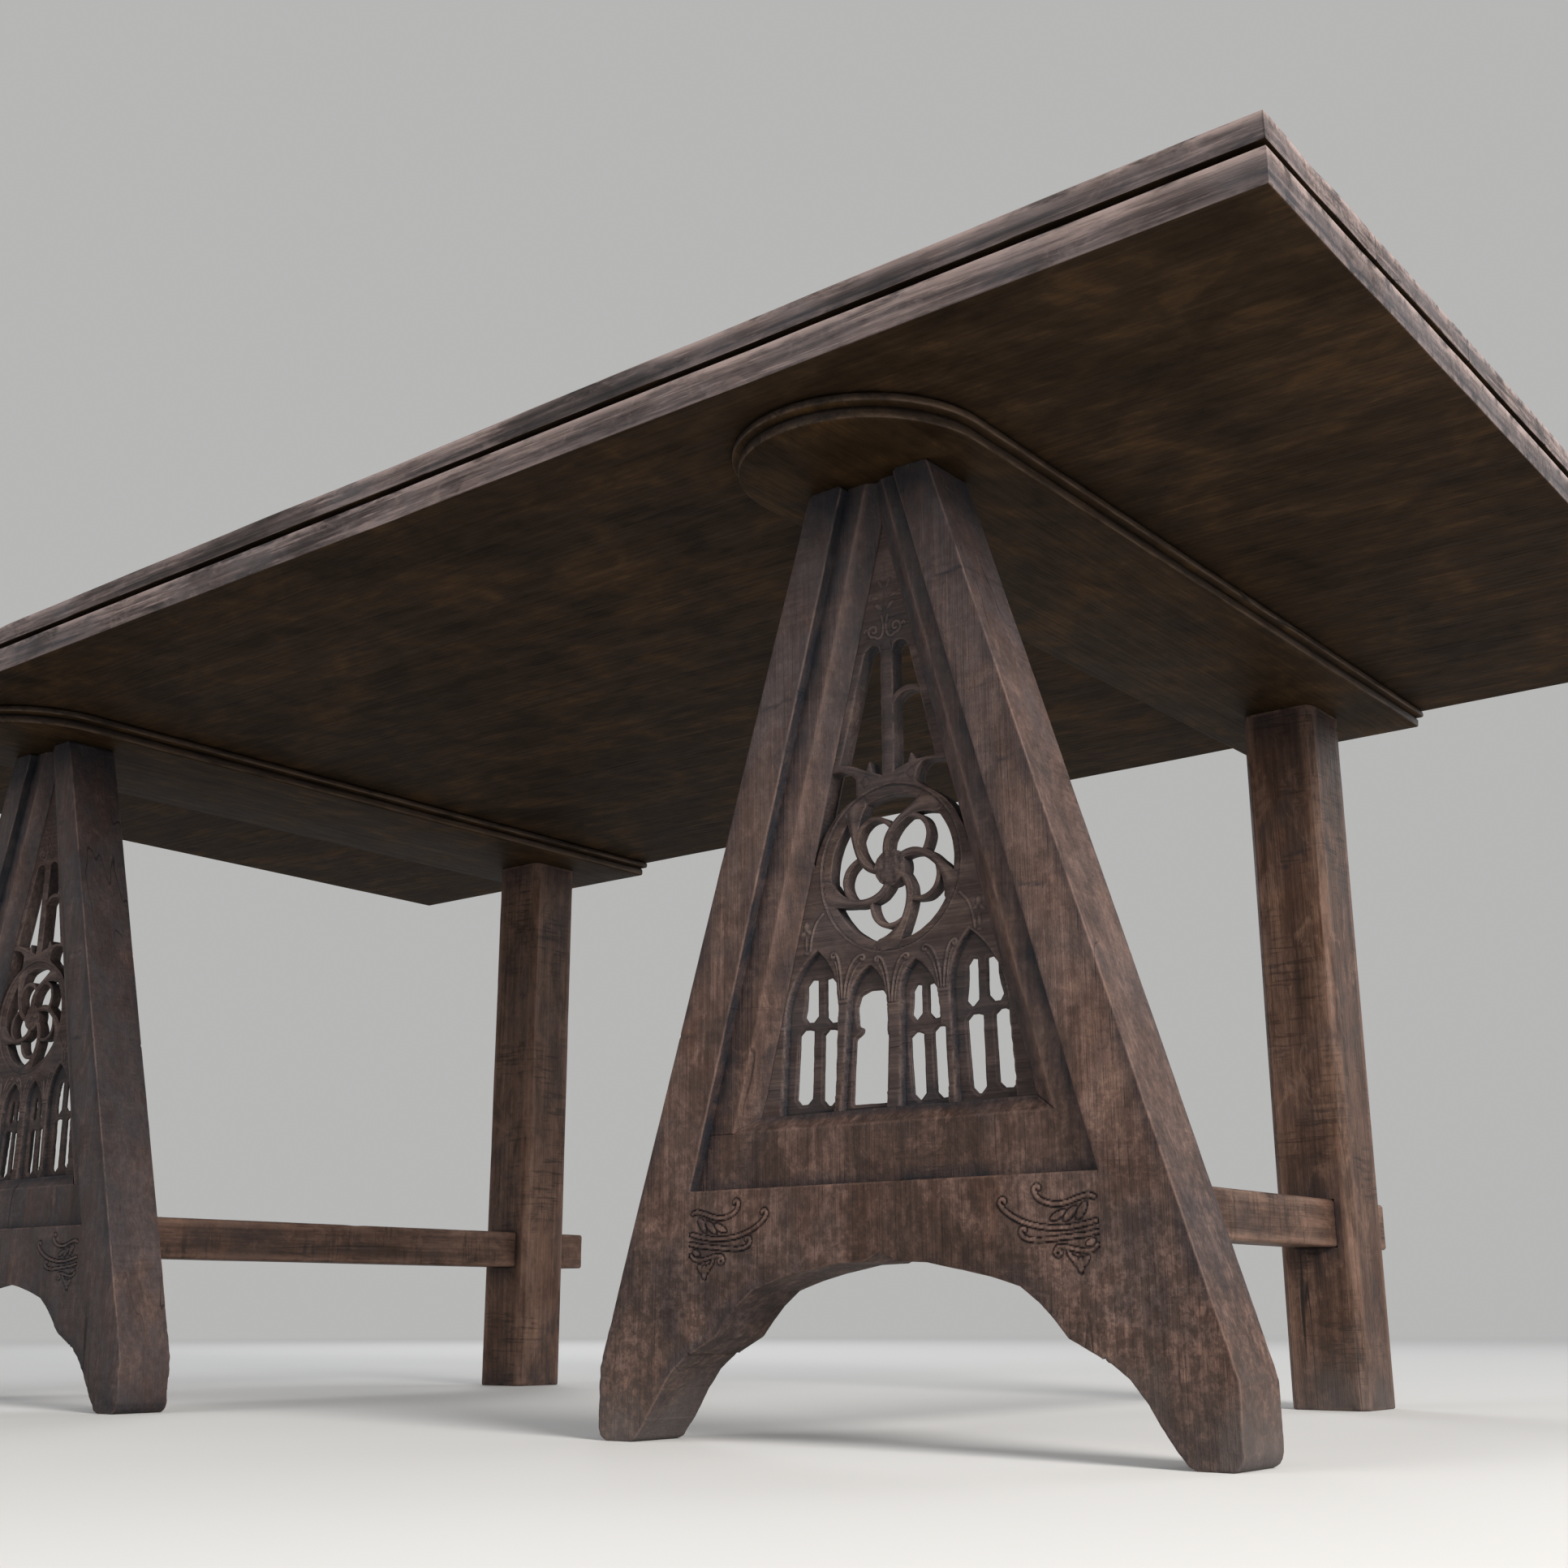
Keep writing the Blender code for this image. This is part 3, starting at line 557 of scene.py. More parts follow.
class Nodes:
    """Short calls for building the node tree of a material or world."""

    def __init__(self, owner):
        owner.use_nodes = True
        self.tree = owner.node_tree
        self.tree.nodes.clear()

    def put(self, socket, value):
        if isinstance(value, bpy.types.NodeSocket):
            self.tree.links.new(value, socket)
        elif socket.type == "RGBA":
            socket.default_value = (*value, 1.0)
        else:
            socket.default_value = value

    def make(self, kind, inputs=None, **settings):
        node = self.tree.nodes.new(kind)
        for key, value in settings.items():
            setattr(node, key, value)
        for key, value in (inputs or {}).items():
            self.put(node.inputs[key], value)
        return node

    def mapping(self, vector, scale, location=(0, 0, 0)):
        inputs = {"Vector": vector, "Scale": scale, "Location": location}
        return self.make("ShaderNodeMapping", inputs).outputs["Vector"]

    def noise(self, vector, scale, detail=3.0, rough=0.55, distortion=0.0):
        return self.make("ShaderNodeTexNoise", {
            "Vector": vector, "Scale": scale, "Detail": detail, "Roughness": rough,
            "Distortion": distortion,
        }).outputs["Fac"]

    def math(self, operation, a, b=0.0, clamp=False):
        return self.make(
            "ShaderNodeMath", {0: a, 1: b}, operation=operation, use_clamp=clamp
        ).outputs[0]

    def add(self, a, b):
        return self.math("ADD", a, b)

    def sub(self, a, b, clamp=False):
        return self.math("SUBTRACT", a, b, clamp)

    def mul(self, a, b):
        return self.math("MULTIPLY", a, b)

    def absolute(self, value):
        return self.math("ABSOLUTE", value)

    def span(self, value, over, to=(0.0, 1.0)):
        """Maps the range over smoothly to the range to."""
        return self.make("ShaderNodeMapRange", {
            "Value": value, "From Min": over[0], "From Max": over[1],
            "To Min": to[0], "To Max": to[1],
        }, interpolation_type="SMOOTHSTEP").outputs[0]

    def mix(self, factor, a, b):
        return self.make("ShaderNodeMix", {0: factor, 6: a, 7: b}, data_type="RGBA").outputs[2]

    def ramp(self, value, stops):
        node = self.make("ShaderNodeValToRGB", {0: value})
        elements = node.color_ramp.elements
        while len(elements) < len(stops):
            elements.new(0.5)
        for element, (at, colour) in zip(elements, stops):
            element.position = at
            element.color = (*colour, 1.0)
        return node.outputs[0]

    def split(self, vector):
        return list(self.make("ShaderNodeSeparateXYZ", {0: vector}).outputs)

    def geometry(self, output):
        return self.make("ShaderNodeNewGeometry").outputs[output]

    def painted(self, name):
        return self.make("ShaderNodeAttribute", attribute_name=name).outputs["Fac"]


# What sets one oak from another; dark, mid, light, grain, rough and bump have no default.
OAK = dict(
    offset=(0, 0, 0),  # where in the texture the piece is cut
    # colour of cold stain blotches, and of dirt and painted shade in hollows
    stain=(0.016, 0.016, 0.021),
    stain_amount=0.75,
    wear_amount=0.5,  # paleness of worn arrises, partly a painted highlight
    streak=1.0,  # strength of the fibres
    figure=1.0,  # strength of the growth bands
    grit=0.0,  # dark speckle, most near the floor
    planks=None,  # (plank width, shift along y)
    grey=0.0,  # bleaching where the finish has gone
    crack=1.0,  # checks along the grain
    foot_dust=0.0,
    ochre=0.6,  # warm patches
    under=None,  # painted shade colour of faces turned to the floor
    reach=0.030,  # how far hollows are shaded, in metres
    cool=0.0,  # cold grey tone and painted shade toward the top
    sawn_edges=False,  # long streaks on the edges
    mottle=0.0,  # uneven stain
    scratch=0.0,  # saw marks across the grain
)
SHEEN = 0.18


class Oak(Nodes):
    """Old oak; each step lays a colour over those before it."""

    def __init__(self, name, **own):
        self.material = bpy.data.materials.new(name)
        super().__init__(self.material)
        self.look = SimpleNamespace(**{**OAK, **own})
        self.coord = self.make("ShaderNodeTexCoord").outputs["Object"]
        self.point = self.mapping(self.coord, (1, 1, 1), self.look.offset)
        self.axes = self.split(self.point)
        self.streaks = self.noise(
            self.along(0.045), scale=46.0, detail=5.0, rough=0.62, distortion=0.3)
        self.cloud = self.noise(
            self.along(0.45), scale=42.0, detail=5.0, rough=0.68, distortion=0.5)
        self.blotch = self.noise(self.point, scale=11.0, detail=5.0, rough=0.62, distortion=0.6)
        fibre = self.noise(self.along(0.020), scale=330.0, detail=4.0, rough=0.65)
        self.fibre = self.span(fibre, over=(0.36, 0.66))
        pores = self.noise(self.along(0.035), scale=720.0, detail=2.0, rough=0.5)
        self.pores = self.span(pores, over=(0.60, 0.72))

        self.base_tone()
        self.fibres_and_pores()
        if self.look.sawn_edges:
            self.edge_streaks()
        if self.look.mottle:
            self.uneven_stain()
        if self.look.cool:
            self.cool_shaded_top()
        if self.look.scratch:
            self.saw_marks()
        self.bleach_and_blotches()
        self.checks()
        if self.look.grit:
            self.speckle()
        self.hollow_dirt_and_shade()
        self.worn_and_highlit_arrises()
        if self.look.under:
            self.painted_underside_shade()
        if self.look.foot_dust:
            self.dust()
        roughness, height = self.roughness(), self.height()
        self.surface(roughness, height)

    def along(self, share):
        """The texture point, with patterns drawn out along the grain."""
        return self.mapping(
            self.point, [share if axis == self.look.grain else 1.0 for axis in "xyz"])

    def lay(self, factor, colour):
        self.colour = self.mix(factor, self.colour, colour)

    def base_tone(self):
        """Broad tone, growth bands, a tone for each plank and warm patches."""
        look = self.look
        broad = self.noise(self.along(0.10), scale=7.0, detail=4.0, rough=0.55, distortion=0.4)
        first, second = [out for out, axis in zip(self.axes, "xyz") if axis != look.grain]
        line = self.add(first, self.mul(second, 0.35))
        swirl = self.noise(self.along(0.16), scale=4.5, detail=2.0, rough=0.5)
        rings = self.add(line, self.mul(swirl, 0.16))
        rings = self.math("SINE", self.mul(rings, 620.0))
        rings = self.mul(self.add(rings, 1.0), 0.5)
        tone = self.add(self.mul(broad, 0.40), self.mul(self.streaks, 0.30 * look.streak))
        tone = self.add(tone, self.mul(self.cloud, 1.0 - 0.40 - 0.30 * look.streak))
        tone = self.add(tone, self.mul(self.sub(rings, 0.5), 0.10 * look.figure))
        if look.planks:
            width, shift = look.planks
            y = self.split(self.coord)[1]
            self.plank = self.math("DIVIDE", self.add(y, shift), width)
            white = self.make("ShaderNodeTexWhiteNoise", noise_dimensions="1D")
            self.put(white.inputs["W"], self.math("FLOOR", self.plank))
            tone = self.add(tone, self.mul(self.sub(white.outputs["Value"], 0.5), 0.20))
        self.colour = self.ramp(tone, [(0.38, look.dark), (0.50, look.mid), (0.615, look.light)])
        warm = self.noise(self.along(0.3), scale=17.0, detail=4.0, rough=0.6, distortion=0.8)
        warm = self.span(warm, over=(0.50, 0.70))
        self.lay(self.mul(warm, 0.55 * look.ochre), tint(look.mid, (1.22, 0.92, 0.60)))

    def fibres_and_pores(self):
        dark = self.look.dark
        gaps = self.sub(1.0, self.fibre)
        self.lay(self.mul(gaps, 0.36 * self.look.streak), shade(dark, 0.45))
        self.lay(self.mul(self.pores, 0.34), shade(dark, 0.30))

    def edge_streaks(self):
        """Long dark and pale streaks on the sawn edges, along each edge."""
        self.normal = self.split(self.geometry("Normal"))
        end = self.span(self.absolute(self.normal[0]), over=(0.6, 0.8))
        run_x, run_y = (
            self.noise(
                self.mapping(self.point, scale), scale=230.0, detail=5.0, rough=0.62,
                distortion=0.15)
            for scale in ((0.045, 1, 1), (1, 0.045, 1))
        )
        run = self.add(self.mul(run_y, end), self.mul(run_x, self.sub(1.0, end)))
        level = self.span(self.absolute(self.normal[2]), over=(0.5, 0.9), to=(1.0, 0.14))
        for over, strength, colour in (
            ((0.50, 0.40), 0.80, shade(self.look.dark, 0.55)),
            ((0.54, 0.66), 0.70, shade(self.look.light, 1.35)),
        ):
            self.lay(self.mul(self.mul(self.span(run, over), strength), level), colour)

    def uneven_stain(self):
        """Patches a thumb wide where the stain took more or less."""
        patches = self.noise(self.along(0.55), scale=36.0, detail=6.0, rough=0.72, distortion=0.7)
        level = self.look.mottle
        if self.look.sawn_edges:  # level faces stay calm
            flat = self.span(self.absolute(self.normal[2]), over=(0.5, 0.9), to=(1.0, 0.12))
            level = self.mul(flat, level)
        dark = self.span(patches, over=(0.50, 0.37))
        self.lay(self.mul(dark, level), shade(self.look.dark, 0.75))
        pale = self.mul(self.span(patches, over=(0.52, 0.66)), 0.80)
        self.lay(self.mul(pale, level), shade(self.look.light, 1.20))

    def cool_shaded_top(self):
        # a cold grey tone, partly painted shade: darker toward the top, under the table top
        high = self.span(self.axes[2], over=(0.26, 0.66))
        high = self.mul(high, self.span(self.cloud, over=(0.36, 0.60), to=(0.45, 1.0)))
        self.lay(self.mul(high, self.look.cool), (0.038, 0.036, 0.041))

    def saw_marks(self):
        scale = [1.0 if axis == self.look.grain else 0.09 for axis in "xyz"]
        saw = self.noise(
            self.mapping(self.point, scale), scale=220.0, detail=4.0, rough=0.6, distortion=0.25)
        where = self.noise(self.point, scale=13.0, detail=3.0, rough=0.55)
        where = self.span(where, over=(0.45, 0.62))
        saw = self.mul(self.span(saw, over=(0.50, 0.40)), where)
        self.saw = self.mul(saw, self.look.scratch)
        self.lay(self.mul(self.saw, 0.75), shade(self.look.dark, 0.40))

    def bleach_and_blotches(self):
        look = self.look
        if look.grey:
            bleached = self.mul(self.span(self.blotch, over=(0.40, 0.68)), look.grey)
            self.lay(bleached, shade((1.02, 0.96, 1.02), sum(look.light) / 3))
        cold = self.mul(self.span(self.blotch, over=(0.50, 0.72)), 0.42 * look.stain_amount)
        self.lay(cold, look.stain)

    def checks(self):
        """Fine cracks along the grain."""
        check = self.noise(self.along(0.045), scale=15.0, detail=3.0, rough=0.45, distortion=0.2)
        thin = self.absolute(self.sub(check, 0.5))
        thin = self.span(thin, over=(0.0, 0.0042), to=(1.0, 0.0))
        some = self.noise(self.along(0.35), scale=9.0, detail=2.0, rough=0.5)
        some = self.span(some, over=(0.52, 0.62))
        self.check = self.mul(self.mul(thin, some), self.look.crack)
        self.lay(self.mul(self.check, 0.85), (0.006, 0.005, 0.005))

    def speckle(self):
        specks = self.noise(self.point, scale=160.0, detail=4.0, rough=0.7)
        specks = self.span(specks, over=(0.42, 0.62))
        grit = self.look.grit
        low = self.span(self.axes[2], over=(0.02, 0.34), to=(grit, grit * 0.42))
        self.lay(self.mul(self.sub(1.0, specks), low), shade(self.look.dark, 0.42))

    def hollow_dirt_and_shade(self):
        """Painted shade where the ambient occlusion finds surfaces close by, with dirt and painted
        shade from the cavity attribute.
        """
        shading = self.make(
            "ShaderNodeAmbientOcclusion", {"Distance": self.look.reach}, samples=6)
        # painted shade from the occlusion
        close = self.span(shading.outputs["AO"], over=(0.38, 0.97), to=(1.0, 0.0))
        uneven = self.noise(self.point, scale=38.0, detail=4.0, rough=0.65)
        uneven = self.span(uneven, over=(0.30, 0.62), to=(0.55, 1.0))
        dirt_and_shade = self.math("MAXIMUM", self.mul(close, 0.80), self.painted("cavity"))
        self.dirt_and_shade = self.mul(self.mul(dirt_and_shade, uneven), 0.95)
        self.lay(self.dirt_and_shade, self.look.stain)

    def worn_and_highlit_arrises(self):
        # arrises painted paler: partly wear, partly a painted highlight
        rub_and_highlight = self.noise(self.along(0.25), scale=60.0, detail=4.0, rough=0.7)
        rub_and_highlight = self.span(rub_and_highlight, over=(0.36, 0.58))
        self.worn_and_highlit = self.mul(self.mul(self.painted("wear"), rub_and_highlight), self.look.wear_amount)
        self.lay(self.worn_and_highlit, tuple(min(1.0, c * 1.55 + 0.02) for c in self.look.light))

    def painted_underside_shade(self):
        """Faces turned to the floor get a dark, oily brown: painted shade."""
        under = self.look.under
        facing = self.split(self.geometry("Normal"))[2]
        self.down = self.span(facing, over=(-0.75, -0.35), to=(1.0, 0.0))
        tone = self.add(self.mul(self.cloud, 0.45), self.mul(self.blotch, 0.55))
        oily_shade = self.ramp(tone, [
            (0.36, shade(under, 0.40)), (0.515, under), (0.67, tint(under, (2.45, 2.2, 1.75))),
        ])
        oily_shade = self.mix(self.mul(self.sub(1.0, self.fibre), 0.30), oily_shade, shade(under, 0.35))
        oily_shade = self.mix(self.mul(self.dirt_and_shade, 0.9), oily_shade, shade(under, 0.22))
        self.lay(self.mul(self.down, 0.95), oily_shade)

    def dust(self):
        low = self.span(self.axes[2], over=(0.0, 0.10), to=(1.0, 0.0))
        dusty = self.mul(low, self.span(self.blotch, over=(0.3, 0.6), to=(0.3, 1.0)))
        self.lay(self.mul(dusty, self.look.foot_dust), (0.20, 0.165, 0.15))

    def roughness(self):
        value = self.add(self.look.rough - 0.10, self.mul(self.fibre, -0.06))
        value = self.add(value, self.mul(self.blotch, 0.22))
        return self.sub(value, self.mul(self.worn_and_highlit, 0.14), clamp=True)

    def height(self):
        """Relief of the grain, with saw marks and plank seams."""
        look = self.look
        height = self.mul(self.fibre, 0.55)
        height = self.sub(height, self.mul(self.pores, 0.55))
        height = self.add(height, self.mul(self.streaks, 0.9))
        height = self.sub(height, self.mul(self.check, 2.2))
        specks = self.noise(self.point, scale=520.0, detail=2.0, rough=0.6)
        height = self.add(height, self.mul(specks, 0.25 + 0.8 * look.grit))
        if look.scratch:
            height = self.sub(height, self.mul(self.saw, 0.9))
        if look.planks:
            edge = self.absolute(self.sub(self.math("FRACT", self.plank), 0.5))
            seam = self.span(edge, over=(0.4935, 0.4975))
            height = self.sub(height, self.mul(seam, 2.0))
            self.lay(self.mul(seam, 0.75), (0.010, 0.008, 0.008))
        return height

    def surface(self, roughness, height):
        bump = self.make("ShaderNodeBump", {
            "Strength": self.look.bump, "Distance": 0.0011, "Height": height,
        })
        sheen = SHEEN
        if self.look.under:
            sheen = self.mul(self.sub(1.0, self.mul(self.down, 0.85)), SHEEN)
        shader = self.make("ShaderNodeBsdfPrincipled", {
            "Base Color": self.colour, "Roughness": roughness, "Normal": bump.outputs[0],
            "Specular IOR Level": sheen,
        })
        self.make("ShaderNodeOutputMaterial", {0: shader.outputs[0]})


def oak_pair(name, right, left, **look):
    """One oak for each trestle; right and left are the texture offsets."""
    return {
        side: Oak(f"{name}_{side}", offset=offset, **look).material
        for side, offset in (("right", right), ("left", left))
    }


FRAME_OAK = oak_pair(
    "frame_oak", right=(0.0, 0.0, 0.0), left=(3.7, 1.3, 0.6),
    dark=(0.040, 0.022, 0.016), mid=(0.105, 0.060, 0.046), light=(0.205, 0.124, 0.096),
    grain="z", grit=0.65, rough=0.64, bump=0.50, grey=0.14, foot_dust=0.30, figure=0.25,
    streak=0.9, stain=(0.008, 0.011, 0.016), stain_amount=0.85, wear_amount=0.22, reach=0.065,
    cool=0.75, mottle=0.50, scratch=0.30,
)
TRACERY_OAK = oak_pair(
    "tracery_oak", right=(0.3, 0.0, 0.2), left=(5.1, 0.4, 1.7),
    dark=(0.021, 0.013, 0.0115), mid=(0.056, 0.036, 0.031), light=(0.118, 0.080, 0.068),
    grain="x", rough=0.70, bump=0.55, grey=0.18, streak=1.25, stain_amount=0.9, crack=0.5,
    figure=0.3, stain=(0.010, 0.012, 0.017), wear_amount=0.42, reach=0.022, mottle=0.30,
)
POST_LOOK = dict(
    dark=(0.034, 0.018, 0.012), mid=(0.092, 0.050, 0.034), light=(0.185, 0.106, 0.074),
    rough=0.60, bump=0.42, grey=0.08, foot_dust=0.25, grit=0.3, figure=0.3,
    stain=(0.010, 0.012, 0.017), stain_amount=0.95, wear_amount=0.30, reach=0.060,
    mottle=0.45, scratch=0.75,
)
POST_OAK = oak_pair(
    "post_oak", right=(1.1, 0.7, 0.0), left=(2.3, 4.7, 0.9), grain="z", **POST_LOOK)
RAIL_OAK = oak_pair(
    "rail_oak", right=(1.9, 0.2, 0.5), left=(4.2, 2.2, 1.5), grain="y", **POST_LOOK)
# painted shade colour of faces turned to the floor
UNDER_SHADE_COLOUR = (0.030, 0.0175, 0.0085)
BEARER_OAK = Oak(
    "bearer_oak", dark=(0.014, 0.009, 0.006), mid=(0.046, 0.027, 0.016),
    light=(0.105, 0.064, 0.038), grain="y", rough=0.60, bump=0.40, grey=0.05,
    stain_amount=0.6, wear_amount=0.55, figure=0.3, stain=(0.007, 0.007, 0.008),
    under=UNDER_SHADE_COLOUR, reach=0.045,
).material
TOP_LOOK = dict(
    dark=(0.031, 0.023, 0.022), mid=(0.098, 0.071, 0.064), light=(0.208, 0.156, 0.144),
    grain="x", rough=0.68, bump=0.50, streak=1.6, figure=0.5, stain=(0.014, 0.017, 0.024),
    under=UNDER_SHADE_COLOUR, wear_amount=0.80, ochre=0.35, sawn_edges=True, mottle=0.42,
)
PLANK_SHIFT = 0.539 + 10 * PLANK_WIDTH  # sets the plank count on the seams, above zero
TOP_OAK = Oak(
    "top_oak", offset=(0.2, 0.6, 0.1), grey=0.30, planks=(PLANK_WIDTH, PLANK_SHIFT), **TOP_LOOK
).material
UNDER_OAK = Oak("under_oak", offset=(3.2, 1.6, 2.1), grey=0.26, **TOP_LOOK).material
# near-black oak for the groove strip, a painted shadow between the boards
GROOVE_SHADOW_OAK = Oak(
    "groove_shadow_oak", dark=(0.010, 0.008, 0.007), mid=(0.022, 0.016, 0.014),
    light=(0.040, 0.030, 0.026), grain="x", rough=0.85, bump=0.3,
).material


# --------------------------------------------------------------------- top
BOARD_STEP = 0.012
EDGE_LINES = (0.0004, 0.0010, 0.0018, 0.0030, 0.0050, 0.0080)  # extra grid lines, in from an edge
SEAM_LINES = (-0.0016, -0.0007, 0, 0.0007, 0.0016)  # grid lines across a seam
SEAM_DEPTH = 0.0009


def thinned(lines, gap, last):
    """Merges grid lines, dropping those closer than gap to the one before."""
    lines = np.unique(np.round(np.concatenate(lines), 6))
    kept = [lines[0]]
    for line in lines[1:]:
        if line - kept[-1] > gap:
            kept.append(line)
    kept[-1] = last
    return np.array(kept)


def board_lines(half):
    core = np.linspace(-half, half, max(2, int(round(2 * half / BOARD_STEP)) + 1))
    close = [-half + inset for inset in EDGE_LINES] + [half - inset for inset in EDGE_LINES]
    return thinned([core, close], 0.00025, half)


def board(name, node, material, upper_arris, lower_arris, seams, seed):
    """A wide board with eased, slightly wavy edges and shallow seams between its planks."""
    low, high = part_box(node)
    ys = [board_lines(TOP_HALF_Y)] + [seam + np.array(SEAM_LINES) for seam in seams]
    x, y = np.meshgrid(board_lines(TOP_HALF_X), thinned(ys, 0.0003, TOP_HALF_Y))
    to_x = np.minimum(x + TOP_HALF_X, TOP_HALF_X - x)
    to_y = np.minimum(y + TOP_HALF_Y, TOP_HALF_Y - y)
    edge = np.minimum(to_x, to_y)
    along = np.where(to_x < to_y, y, x)

    radius = upper_arris * (
        1.0 + 0.32 * noise(along * 7, seed=seed) + 0.14 * noise(along * 19, seed=seed + 1))
    chips = clip01(noise(along * 13, seed=seed + 2) - 0.66) * 2.4
    radius = np.maximum(radius * (1 + chips), 0.0006)
    groove = np.zeros_like(x)
    for seam in seams:
        groove = np.maximum(groove, near(y, seam, 0.0015) * SEAM_DEPTH)
    swell = 0.00022 * noise(x * 3.0, y * 7.0, seed=seed + 4) * clip01(edge / 0.02)
    upper = high.z - arris_drop(edge, radius) - groove - clip01(swell + 0.00022)
    lower_radius = lower_arris * (1.0 + 0.4 * noise(along * 11, seed=seed + 6))
    lower = low.z + arris_drop(edge, lower_radius) + groove

    # the edges wander by about a millimetre
    wave = noise(along * 5, seed=seed + 8) + 0.5 * noise(along * 17, seed=seed + 9)
    pull = fade(edge, 0.02) * (0.0007 * wave + 0.0011)
    across_x = (x - np.sign(x) * (to_x < 0.02) * pull).ravel()
    across_y = (y - np.sign(y) * (to_y < 0.02) * pull).ravel()
    verts = np.concatenate([
        np.stack([across_x, across_y, level.ravel()], 1) for level in (upper, lower)
    ])
    n = x.size
    ids = np.arange(n).reshape(x.shape)
    cells = np.stack([ids[:-1, :-1], ids[:-1, 1:], ids[1:, 1:], ids[1:, :-1]], -1).reshape(-1, 4)
    rim = np.concatenate([ids[0, :], ids[1:, -1], ids[-1, -2::-1], ids[-2:0:-1, 0]])

    # three rings between the faces let the edge bulge and dip like planed wood
    top_rim, low_rim = verts[rim], verts[rim + n]
    run = np.cumsum(np.r_[0, np.hypot(*(np.diff(top_rim[:, :2], axis=0).T))])
    outward = np.zeros((len(rim), 3))
    for axis, half in enumerate((TOP_HALF_X, TOP_HALF_Y)):
        at = top_rim[:, axis]
        outward[:, axis] = np.where(np.abs(np.abs(at) - half) < 0.004, np.sign(at), 0)
    layers, rings = [rim], []
    for k, share in enumerate((0.25, 0.5, 0.75)):
        shift = 0.00045 * noise(run * 14, share * 9, seed=seed + 12) - 0.00010
        shift = np.minimum(shift, 0.0005)[:, None]
        rings.append(top_rim + (low_rim - top_rim) * share + outward * shift)
        layers.append(2 * n + k * len(rim) + np.arange(len(rim)))
    layers.append(rim + n)
    walls = [
        np.stack([a, b, np.roll(b, -1), np.roll(a, -1)], 1) for a, b in zip(layers, layers[1:])
    ]
    quads = np.concatenate([cells, cells[:, ::-1] + n] + walls)
    obj = object_from(name, np.concatenate([verts] + rings), quads)

    # pale arrises: partly wear, partly a painted highlight along the top edge
    wear = fade(edge, radius * 1.6).ravel()
    ring_wear_and_highlight = [np.full(len(rim), value) for value in (0.20, 0.10, 0.0)]
    attribute(obj.data, "wear", np.concatenate([wear, wear * 0.35] + ring_wear_and_highlight))
    cavity = clip01(groove / SEAM_DEPTH).ravel() * 0.8
    # the edge is painted darker towards its lower arris, in patches along its run
    lower_edge_darkening = clip01(
        0.35 + 0.75 * noise(run * 2.3, seed=seed + 20) + 0.5 * noise(run * 9, seed=seed + 21))
    lower_cavity = cavity.copy()
    lower_cavity[rim] = np.maximum(lower_cavity[rim], 0.8 * lower_edge_darkening)
    ring_cavity = [lower_edge_darkening * value for value in (0.05, 0.25, 0.60)]
    attribute(obj.data, "cavity", np.concatenate([cavity, lower_cavity] + ring_cavity))
    finish_piece(obj, node, material, 50)


def groove_strip():
    """A dark strip in the groove between the two boards: a painted shadow."""
    low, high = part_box("groove_strip")
    corners = [(low.x, low.y), (high.x, low.y), (high.x, high.y), (low.x, high.y)]
    steps = 60  # along each side
    sections = []
    for z in (low.z - 0.0004, middle(low.z, high.z), high.z + 0.0004):
        ring = []
        for (ax, ay), (bx, by) in zip(corners, corners[1:] + corners[:1]):
            length = math.hypot(bx - ax, by - ay)
            for i in range(steps):
                t = i / steps
                x, y = ax + (bx - ax) * t, ay + (by - ay) * t
                shift = 0.0009 * float(noise(x * 23, y * 23, z * 90, seed=5))
                ring.append((
                    x + (by - ay) / length * shift, y - (bx - ax) / length * shift, z))
        sections.append(ring)
    obj = loft("shadow_groove_strip", sections)
    finish_piece(obj, "groove_strip", GROOVE_SHADOW_OAK, 38)


# ----------------------------------------------------------------- bearers
# up the side of a bearer: z = base + rise, inset, wear (with painted highlight), cavity (painted
# shade in the step and at the top)
BEARER_PROFILE = [
    (BEARER_LOW, 0, 0.0078, 0.3, 0), (BEARER_LOW, 0.0004, 0.0064, 0.8, 0),
    (BEARER_LOW, 0.0011, 0.0054, 0.9, 0), (BEARER_LOW, 0.0024, 0.0048, 0.5, 0),
    (BEARER_LOW, 0.0050, 0.0046, 0.1, 0), (BEARER_STEP, -0.0034, 0.0046, 0, 0.2),
    (BEARER_STEP, -0.0022, 0.0049, 0, 0.7), (BEARER_STEP, -0.0012, 0.0058, 0, 1),
    (BEARER_STEP, -0.0004, 0.0062, 0, 1), (BEARER_STEP, 0.0002, 0.0050, 0.3, 0.6),
    (BEARER_STEP, 0.0006, 0.0028, 0.7, 0.1), (BEARER_STEP, 0.0012, 0.0012, 1, 0),
    (BEARER_STEP, 0.0024, 0.0003, 0.7, 0), (BEARER_STEP, 0.0040, 0, 0.3, 0),
    (UNIT, -0.0034, 0, 0.2, 0), (UNIT, -0.0020, 0.0004, 0.2, 0.1),
    (UNIT, -0.0008, 0.0014, 0.2, 0.4), (UNIT, -0.0001, 0.0034, 0, 0.8),
]


